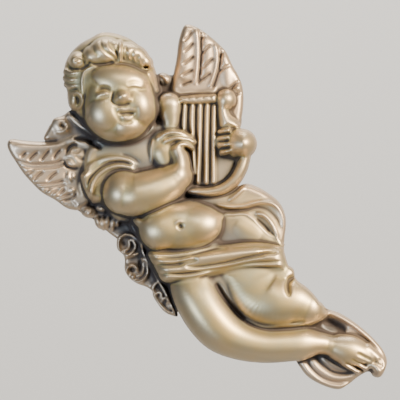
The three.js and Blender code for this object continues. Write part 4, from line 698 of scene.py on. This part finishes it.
def sampled(values, x, z, sheet):
    """A map's value between its grid places, weighed by nearness."""
    u = np.clip((x - sheet.xs[0]) / sheet.step, 0, len(sheet.xs) - 1.001)
    v = np.clip((z - sheet.zs[0]) / sheet.step, 0, len(sheet.zs) - 1.001)
    i, k = u.astype(int), v.astype(int)
    u, v = u - i, v - k
    low = values[k, i] * (1 - u) + values[k, i + 1] * u
    high = values[k + 1, i] * (1 - u) + values[k + 1, i + 1] * u
    return low * (1 - v) + high * v


def slid_onto(values, x, z, sheet, steps=4):
    """Places slid along the slope of a map to where it is nought."""
    slope_z, slope_x = np.gradient(values, sheet.step)
    for _ in range(steps):
        miss = sampled(values, x, z, sheet)
        gx, gz = sampled(slope_x, x, z, sheet), sampled(slope_z, x, z, sheet)
        pull = np.clip(miss / np.maximum(gx * gx + gz * gz, 0.3), -sheet.step, sheet.step)
        x, z = x - pull * gx, z - pull * gz
    return x, z


def hole_clearance(sheet, sizes):
    """Distance outside the oval nail hole: the way from its middle, less the way from
    there to its rim."""
    half_x, half_z = sizes.nail_hole_width / 2 / MM, sizes.nail_hole_height / 2 / MM
    dx, dz = sheet.x - sizes.nail_hole_place[0] / MM, sheet.z - sizes.nail_hole_place[1] / MM
    q = np.maximum(np.hypot(dx / half_x, dz / half_z), 1e-6)
    return (q - 1) * np.hypot(dx, dz) / q


def kept_cells(front):
    """Cells whose middle is inside; cells that touch only by a corner are joined."""
    middle = (front[:-1, :-1] + front[1:, :-1] + front[:-1, 1:] + front[1:, 1:]) / 4
    keep = middle > 0
    for _ in range(3):
        a, b, c, d = keep[:-1, :-1], keep[:-1, 1:], keep[1:, :-1], keep[1:, 1:]
        rising, falling = a & d & ~b & ~c, b & c & ~a & ~d
        keep[:-1, 1:] |= rising
        keep[:-1, :-1] |= falling
    return keep


def cast(sizes):
    """Points, quads and the finish and painted-shade maps of the casting.

    The front is the sheet of heights over the cells inside the drafted outline, its rim
    nodes slid onto the outline. The sides are rows of quads from each rim edge straight
    to the outline on the wall, which the draft lets out by height times its slope. The
    maps for the finish and its painted shade and highlight tell how far a place lies below
    the height blurred round it, and below the top of the low ground."""
    step = sizes.mesh_step / MM
    sheet = Sheet(step)
    for form in FORMS:
        form(sheet)
    height = softened(sheet, sizes.softening / MM)
    inside = true_inside(sheet, RIM_REACH)
    lean = np.tan(sizes.side_draft)
    hole = hole_clearance(sheet, sizes)
    front = np.minimum(inside - height * lean, hole)
    back = np.minimum(inside, hole)
    round_edge = sizes.rim_round / MM
    near_rim = np.clip(1 - np.minimum(front, round_edge) / round_edge, 0, 1)
    height = height - round_edge * (1 - np.sqrt(1 - near_rim ** 2))

    # Hollow: in creases it sets the umber glaze with painted shade; below nought, on convex edges, the worn
    # edge with its painted highlight
    hollow = (FINE_WEIGHT * (blurred(height, FINE_WIDTH, step) - height)
              + BROAD_WEIGHT * (blurred(height, BROAD_WIDTH, step) - height))
    # Painted shade: places lying well below the height round them are greyed as if in shade
    painted_shade = np.clip((blurred(height, PAINTED_SHADE_WIDTH, step) - height) / PAINTED_SHADE_DEPTH, 0, 1)
    low = np.clip((LOW_GROUND_TOP - blurred(height, LOW_GROUND_WIDTH, step)) / LOW_GROUND_FADE, 0, 1)

    keep = kept_cells(front)
    rows, columns = sheet.x.shape
    numbers = np.arange(rows * columns).reshape(rows, columns)
    quads = np.stack([numbers[:-1, :-1], numbers[:-1, 1:], numbers[1:, 1:], numbers[1:, :-1]], -1)[keep]
    used, quads = np.unique(quads, return_inverse=True)
    quads = quads.reshape(-1, 4)
    x, z = sheet.x.ravel()[used], sheet.z.ravel()[used]

    edges = np.concatenate([quads[:, [0, 1]], quads[:, [1, 2]], quads[:, [2, 3]], quads[:, [3, 0]]])
    count = len(used)
    forward, reverse = edges[:, 0] * count + edges[:, 1], edges[:, 1] * count + edges[:, 0]
    edges = edges[~np.isin(forward, reverse)]
    rim, rim_edges = np.unique(edges, return_inverse=True)
    rim_edges = rim_edges.reshape(-1, 2)

    x[rim], z[rim] = slid_onto(front, x[rim], z[rim], sheet)
    y = sampled(height, x, z, sheet)
    back_x, back_z = slid_onto(back, x[rim], z[rim], sheet, 6)
    in_hole = sampled(hole, x[rim], z[rim], sheet) < 2 * step
    back_z = back_z - np.where(in_hole, y[rim] * np.tan(sizes.nail_hole_slope), 0)

    points = [np.stack([x, -y, z], -1)]
    marks = [np.stack([sampled(values, x, z, sheet) for values in (hollow, low, painted_shade)], -1)]
    faces = [quads]
    above = rim
    for i, share in enumerate(SIDE_ROWS):
        below = count + i * len(rim) + np.arange(len(rim))
        points.append(np.stack([x[rim] + (back_x - x[rim]) * share, -y[rim] * (1 - share),
                                z[rim] + (back_z - z[rim]) * share], -1))
        marks.append(np.full((len(rim), 3), SIDE_MARKS))
        a, b = rim_edges[:, 0], rim_edges[:, 1]
        faces.append(np.stack([above[b], above[a], below[a], below[b]], -1))
        above = below
    return np.concatenate(points) * MM, np.concatenate(faces), np.concatenate(marks)


def casting_mesh(name, sizes):
    """Mesh of the casting: the quads from cast, and a level back filled between its rims."""
    points, quads, marks = cast(sizes)
    mesh = bpy.data.meshes.new(name)
    mesh.from_pydata(points, [], quads)
    mesh.update()
    shell = bmesh.new()
    shell.from_mesh(mesh)
    open_edges = [edge for edge in shell.edges if edge.is_boundary]
    filled = bmesh.ops.triangle_fill(shell, edges=open_edges, use_dissolve=False, normal=(0, 1, 0))
    for part in filled["geom"]:
        if isinstance(part, bmesh.types.BMFace):
            part.material_index = 1
            if part.normal.y < 0:
                part.normal_flip()
    shell.to_mesh(mesh)
    shell.free()
    polygons = len(mesh.polygons)
    smooth = np.ones(polygons, bool)
    slots = np.zeros(polygons, np.int32)
    mesh.polygons.foreach_get("material_index", slots)
    smooth[slots == 1] = False
    mesh.polygons.foreach_set("use_smooth", smooth)
    for column, label in enumerate(("hollow", "low_ground", "painted_shade")):
        attribute = mesh.attributes.new(label, "FLOAT", "POINT")
        attribute.data.foreach_set("value", marks[:, column].astype(np.float32))
    return mesh


# Finishes


def linear(hex_colour):
    """An sRGB hex colour as linear red, green, blue and alpha."""
    channels = np.array([int(hex_colour[i:i + 2], 16) for i in (1, 3, 5)]) / 255
    values = np.where(channels <= 0.04045, channels / 12.92, ((channels + 0.055) / 1.055) ** 2.4)
    return (*(float(value) for value in values), 1.0)


def node(tree, kind, inputs=None, **settings):
    """Adds a node, sets it up and links or fills its inputs."""
    made = tree.nodes.new(kind)
    for key, value in settings.items():
        setattr(made, key, value)
    for key, value in (inputs or {}).items():
        if isinstance(value, bpy.types.NodeSocket):
            tree.links.new(value, made.inputs[key])
        else:
            made.inputs[key].default_value = value
    return made


def mixed(tree, share, first, second):
    """Colour between two, by a share."""
    made = node(tree, "ShaderNodeMix", data_type="RGBA", clamp_factor=True)
    for socket, value in ((made.inputs[0], share), (made.inputs[6], first), (made.inputs[7], second)):
        if isinstance(value, bpy.types.NodeSocket):
            tree.links.new(value, socket)
        else:
            socket.default_value = value
    return made.outputs[2]


def ranged(tree, value, low, high, to_low=0.0, to_high=1.0):
    """A value's place between two limits, as a number between two others."""
    return node(tree, "ShaderNodeMapRange", {"Value": value, "From Min": low, "From Max": high,
                                             "To Min": to_low, "To Max": to_high}).outputs["Result"]


def antique_gold(colours):
    """Antique-gold paint on cast resin, brushed on and wiped back: satin gold on what
    stands up, a rosy brown on the low ground, umber left in the creases and darkened further
    there as painted shade, grey painted shade in deep places between high forms, and convex
    edges worn bright with a painted highlight."""
    material = bpy.data.materials.new("antique_gold_paint")
    material.use_nodes = True
    tree = material.node_tree
    shader = tree.nodes["Principled BSDF"]
    place = node(tree, "ShaderNodeTexCoord").outputs["Object"]
    # Clouds of thicker and thinner paint about 9 mm across
    clouds = node(tree, "ShaderNodeTexNoise", {"Vector": place, "Scale": 110.0, "Detail": 3.0}).outputs["Fac"]
    # Cast grain of about 0.5 mm, just coarse enough to show
    grain = node(tree, "ShaderNodeTexNoise", {"Vector": place, "Scale": 2000.0, "Detail": 2.0}).outputs["Fac"]
    hollow = node(tree, "ShaderNodeAttribute", attribute_name="hollow").outputs["Fac"]
    low = node(tree, "ShaderNodeAttribute", attribute_name="low_ground").outputs["Fac"]
    gold = mixed(tree, ranged(tree, clouds, 0.35, 0.65), colours.gold, colours.gold_warm)
    ground_tone = mixed(tree, ranged(tree, clouds, 0.3, 0.7), colours.ground, colours.ground_pale)
    base = mixed(tree, ranged(tree, low, 0.0, 1.0, 0.0, 0.8), gold, ground_tone)
    # Painted shade: deep places between high forms are turned grey as if in shade
    painted_shade = node(tree, "ShaderNodeAttribute", attribute_name="painted_shade").outputs["Fac"]
    shaded_base = mixed(tree, ranged(tree, painted_shade, 0.1, 0.75, 0.0, 0.9), base, colours.painted_shade)
    # Convex edges worn bright, with a painted highlight on them
    rubbed_and_highlight = mixed(tree, ranged(tree, hollow, -0.15, -0.6, 0.0, 0.45), shaded_base, colours.rubbed_and_highlight)
    # Umber glaze in creases and broad hollows, deepened as painted shade
    glazed_and_shaded = mixed(tree, ranged(tree, hollow, 0.15, 1.1, 0.0, 0.92), rubbed_and_highlight, colours.umber)
    tree.links.new(glazed_and_shaded, shader.inputs["Base Color"])
    rough = ranged(tree, hollow, -0.3, 0.6, 0.45, 0.75)
    tree.links.new(rough, shader.inputs["Roughness"])
    # The gold is metal flake, the glaze and painted crease shade over it in the creases isn't
    metal = ranged(tree, hollow, 0.1, 1.2, 0.88, 0.4)
    tree.links.new(metal, shader.inputs["Metallic"])
    bump = node(tree, "ShaderNodeBump", {"Height": grain, "Strength": 0.25, "Distance": 0.00008})
    tree.links.new(bump.outputs["Normal"], shader.inputs["Normal"])
    return material


def bare_back(colours):
    """Sanded back of the casting with a thin overspray: dull, darker and even."""
    material = bpy.data.materials.new("sanded_resin_back")
    material.use_nodes = True
    tree = material.node_tree
    shader = tree.nodes["Principled BSDF"]
    place = node(tree, "ShaderNodeTexCoord").outputs["Object"]
    spray = node(tree, "ShaderNodeTexNoise", {"Vector": place, "Scale": 60.0, "Detail": 4.0}).outputs["Fac"]
    grit = node(tree, "ShaderNodeTexNoise", {"Vector": place, "Scale": 1600.0, "Detail": 2.0}).outputs["Fac"]
    tone = mixed(tree, ranged(tree, spray, 0.3, 0.7), colours.back, colours.back_sprayed)
    tree.links.new(tone, shader.inputs["Base Color"])
    shader.inputs["Roughness"].default_value = 0.72
    shader.inputs["Metallic"].default_value = 0.25
    bump = node(tree, "ShaderNodeBump", {"Height": grit, "Strength": 0.4, "Distance": 0.0001})
    tree.links.new(bump.outputs["Normal"], shader.inputs["Normal"])
    return material


def plain_paper(name, tint):
    """Matt studio paper, pale and even."""
    material = bpy.data.materials.new(name)
    material.use_nodes = True
    shader = material.node_tree.nodes["Principled BSDF"]
    shader.inputs["Base Color"].default_value = tint
    shader.inputs["Roughness"].default_value = 0.9
    return material


# Settings


def length(name, description, default):
    """A length property in metres."""
    return FloatProperty(name=name, description=description, default=default, subtype="DISTANCE",
                         unit="LENGTH", precision=5)


def colour(name, description, default):
    """A colour property, linear, with its default from an sRGB hex value."""
    return FloatVectorProperty(name=name, description=description, default=linear(default),
                               subtype="COLOR", size=4, min=0.0, max=1.0)


class PlaqueSizes(bpy.types.PropertyGroup):
    """Sizes of the casting."""
    mesh_step: length("Mesh step", "Distance between the points of the relief", 0.00036)
    softening: length("Softening", "How far cast detail is blurred", 0.00032)
    rim_round: length("Rim round", "Radius of the front's outer edge", 0.0006)
    side_draft: FloatProperty(name="Side draft", description="How far the sides lean in from the wall",
                              default=np.radians(3.0), subtype="ANGLE", unit="ROTATION")
    nail_hole_width: length("Nail hole width", "Width of the nail hole in the hair", 0.0022)
    nail_hole_height: length("Nail hole height", "Height of the nail hole in the hair", 0.0017)
    nail_hole_slope: FloatProperty(name="Nail hole slope", description="How far it falls to the wall",
                                   default=np.radians(9.0), subtype="ANGLE", unit="ROTATION")
    nail_hole_place: FloatVectorProperty(name="Nail hole place", description="Its x and z on the wall",
                                         size=2, default=(-0.0182, 0.0551), unit="LENGTH", precision=5)


class PlaqueColours(bpy.types.PropertyGroup):
    """Colours of the finish, with its painted shade and painted highlight."""
    gold: colour("Gold", "Satin gold on what stands up", "#9D9372")
    gold_warm: colour("Warm gold", "Where the paint is thicker", "#AA9565")
    ground: colour("Ground", "Low ground of wings and scrolls", "#A6917D")
    ground_pale: colour("Pale ground", "Thin paint on the low ground", "#B8A28D")
    # Edges worn bright, with a painted highlight on them
    rubbed_and_highlight: colour("Worn edge and painted highlight", "Edges worn bright, with a painted highlight", "#CDB598")
    # Umber glaze in the creases, made darker there as painted shade
    umber: colour("Umber", "Umber glaze left in the creases, deepened as painted shade", "#30251F")
    # Grey painted shade for deep places between high forms
    painted_shade: colour("Painted shade", "Grey painted shade in deep places between high forms", "#5F5E5D")
    back: colour("Back", "Sanded back", "#7A6A58")
    back_sprayed: colour("Sprayed back", "Back with gold overspray", "#8C7A5E")


class PlaqueStage(bpy.types.PropertyGroup):
    """Camera and stage."""
    camera_distance: length("Camera distance", "From the wall plane to the camera", 1.6)
    paper: colour("Paper", "Colour of the floor and backdrop", "#DEDBD5")


# Operators


class PLAQUE_OT_cherub(bpy.types.Operator):
    """Cast the cherub plaque in relief and paint it"""
    bl_idname = "plaque.cherub"
    bl_label = "Cherub Plaque"

    def execute(self, context):
        scene = context.scene
        mesh = casting_mesh("cherub_casting", scene.plaque_sizes)
        if not mesh.polygons:
            raise RuntimeError("The relief has no face at this mesh step")
        mesh.materials.append(antique_gold(scene.plaque_colours))
        mesh.materials.append(bare_back(scene.plaque_colours))
        casting = bpy.data.objects.new("cherub_casting", mesh)
        scene.collection.objects.link(casting)
        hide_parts("cherub_plaque")
        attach(casting, "root")
        return {"FINISHED"}


def aimed(obj, target):
    """Turns a lamp or camera towards a target point."""
    away = Vector(target) - obj.location
    obj.rotation_euler = away.to_track_quat("-Z", "Y").to_euler()
    return obj


class PLAQUE_OT_stage(bpy.types.Operator):
    """Lay the pale floor and backdrop, hang the soft lights and set the camera"""
    bl_idname = "plaque.stage"
    bl_label = "Stage"

    def execute(self, context):
        scene = context.scene
        stage = scene.plaque_stage
        # A floor that curves up into a backdrop, well beyond every camera
        half, front, depth = 8.0, -8.0, 3.4
        low, top, radius = -2.8, 6.0, 1.2
        angle = np.linspace(0, np.pi / 2, 17)
        profile_y = np.concatenate([[front], depth - radius + radius * np.sin(angle), [depth]])
        profile_z = np.concatenate([[low], low + radius * (1 - np.cos(angle)), [top]])
        count = len(profile_y)
        points = np.concatenate([np.stack([np.full(count, side), profile_y, profile_z], -1)
                                 for side in (-half, half)])
        a = np.arange(count - 1)
        faces = np.stack([a, a + 1, a + 1 + count, a + count], -1)[:, ::-1]
        mesh = bpy.data.meshes.new("studio_floor")
        mesh.from_pydata(points, [], faces)
        mesh.polygons.foreach_set("use_smooth", np.ones(len(faces), bool))
        mesh.materials.append(plain_paper("studio_paper", stage.paper))
        floor = bpy.data.objects.new("studio_floor", mesh)
        scene.collection.objects.link(floor)

        # Warm light from the upper right, cool light from the left, a soft one in front:
        # name, place, size, watts and tint
        lamps = (("key_light", (0.97, -0.72, 0.40), 0.45, 84.0, (1.0, 0.85, 0.64)),
                 ("left_light", (-0.85, -0.85, -0.30), 0.4, 16.0, (0.60, 0.76, 1.0)),
                 ("front_light", (0.1, -1.2, 0.75), 0.5, 9.5, (1.0, 0.95, 0.88)),
                 ("backdrop_light", (0.0, 1.2, 2.2), 2.0, 170.0, (1.0, 1.0, 1.0)))
        for name, place, size, power, tint in lamps:
            lamp = bpy.data.lights.new(name, "AREA")
            lamp.shape = "DISK"
            lamp.size = size
            lamp.energy = power
            lamp.color = tint
            holder = bpy.data.objects.new(name, lamp)
            holder.location = place
            holder.visible_camera = False
            scene.collection.objects.link(holder)
            aimed(holder, (0, depth, 0) if name == "backdrop_light" else (0, 0, 0))

        world = bpy.data.worlds.new("studio_air")
        world.use_nodes = True
        world.node_tree.nodes["Background"].inputs["Color"].default_value = (0.78, 0.83, 0.92, 1)
        world.node_tree.nodes["Background"].inputs["Strength"].default_value = 0.09
        scene.world = world

        data = bpy.data.cameras.new("photo_camera")
        data.lens = data.sensor_width * stage.camera_distance / (PHOTO_SIDE_MM * MM)
        camera = bpy.data.objects.new("photo_camera", data)
        x, z = PHOTO_CENTRE_MM[0] * MM, PHOTO_CENTRE_MM[1] * MM
        camera.location = (x, -stage.camera_distance, z)
        scene.collection.objects.link(camera)
        aimed(camera, (x, 0, z))
        scene.camera = camera
        return {"FINISHED"}


class PLAQUE_PT_panel(bpy.types.Panel):
    """Sizes, colours and pieces of the plaque"""
    bl_idname = "PLAQUE_PT_panel"
    bl_label = "Cherub Plaque"
    bl_space_type = "VIEW_3D"
    bl_region_type = "UI"
    bl_category = "Plaque"

    def draw(self, context):
        scene = context.scene
        for group in (scene.plaque_sizes, scene.plaque_colours, scene.plaque_stage):
            box = self.layout.box()
            for name in group.__annotations__:
                box.prop(group, name)
        for operator in OPERATORS:
            self.layout.operator(operator.bl_idname)


GROUPS = {"plaque_sizes": PlaqueSizes, "plaque_colours": PlaqueColours, "plaque_stage": PlaqueStage}
OPERATORS = (PLAQUE_OT_cherub, PLAQUE_OT_stage)
CLASSES = (*GROUPS.values(), *OPERATORS, PLAQUE_PT_panel)


def register():
    for cls in CLASSES:
        bpy.utils.register_class(cls)
    for name, group in GROUPS.items():
        setattr(bpy.types.Scene, name, PointerProperty(type=group))


def unregister():
    for name in GROUPS:
        delattr(bpy.types.Scene, name)
    for cls in reversed(CLASSES):
        bpy.utils.unregister_class(cls)


def main():
    """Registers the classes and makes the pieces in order."""
    register()
    bpy.ops.plaque.cherub()
    bpy.ops.plaque.stage()


if __name__ == "__main__":
    main()
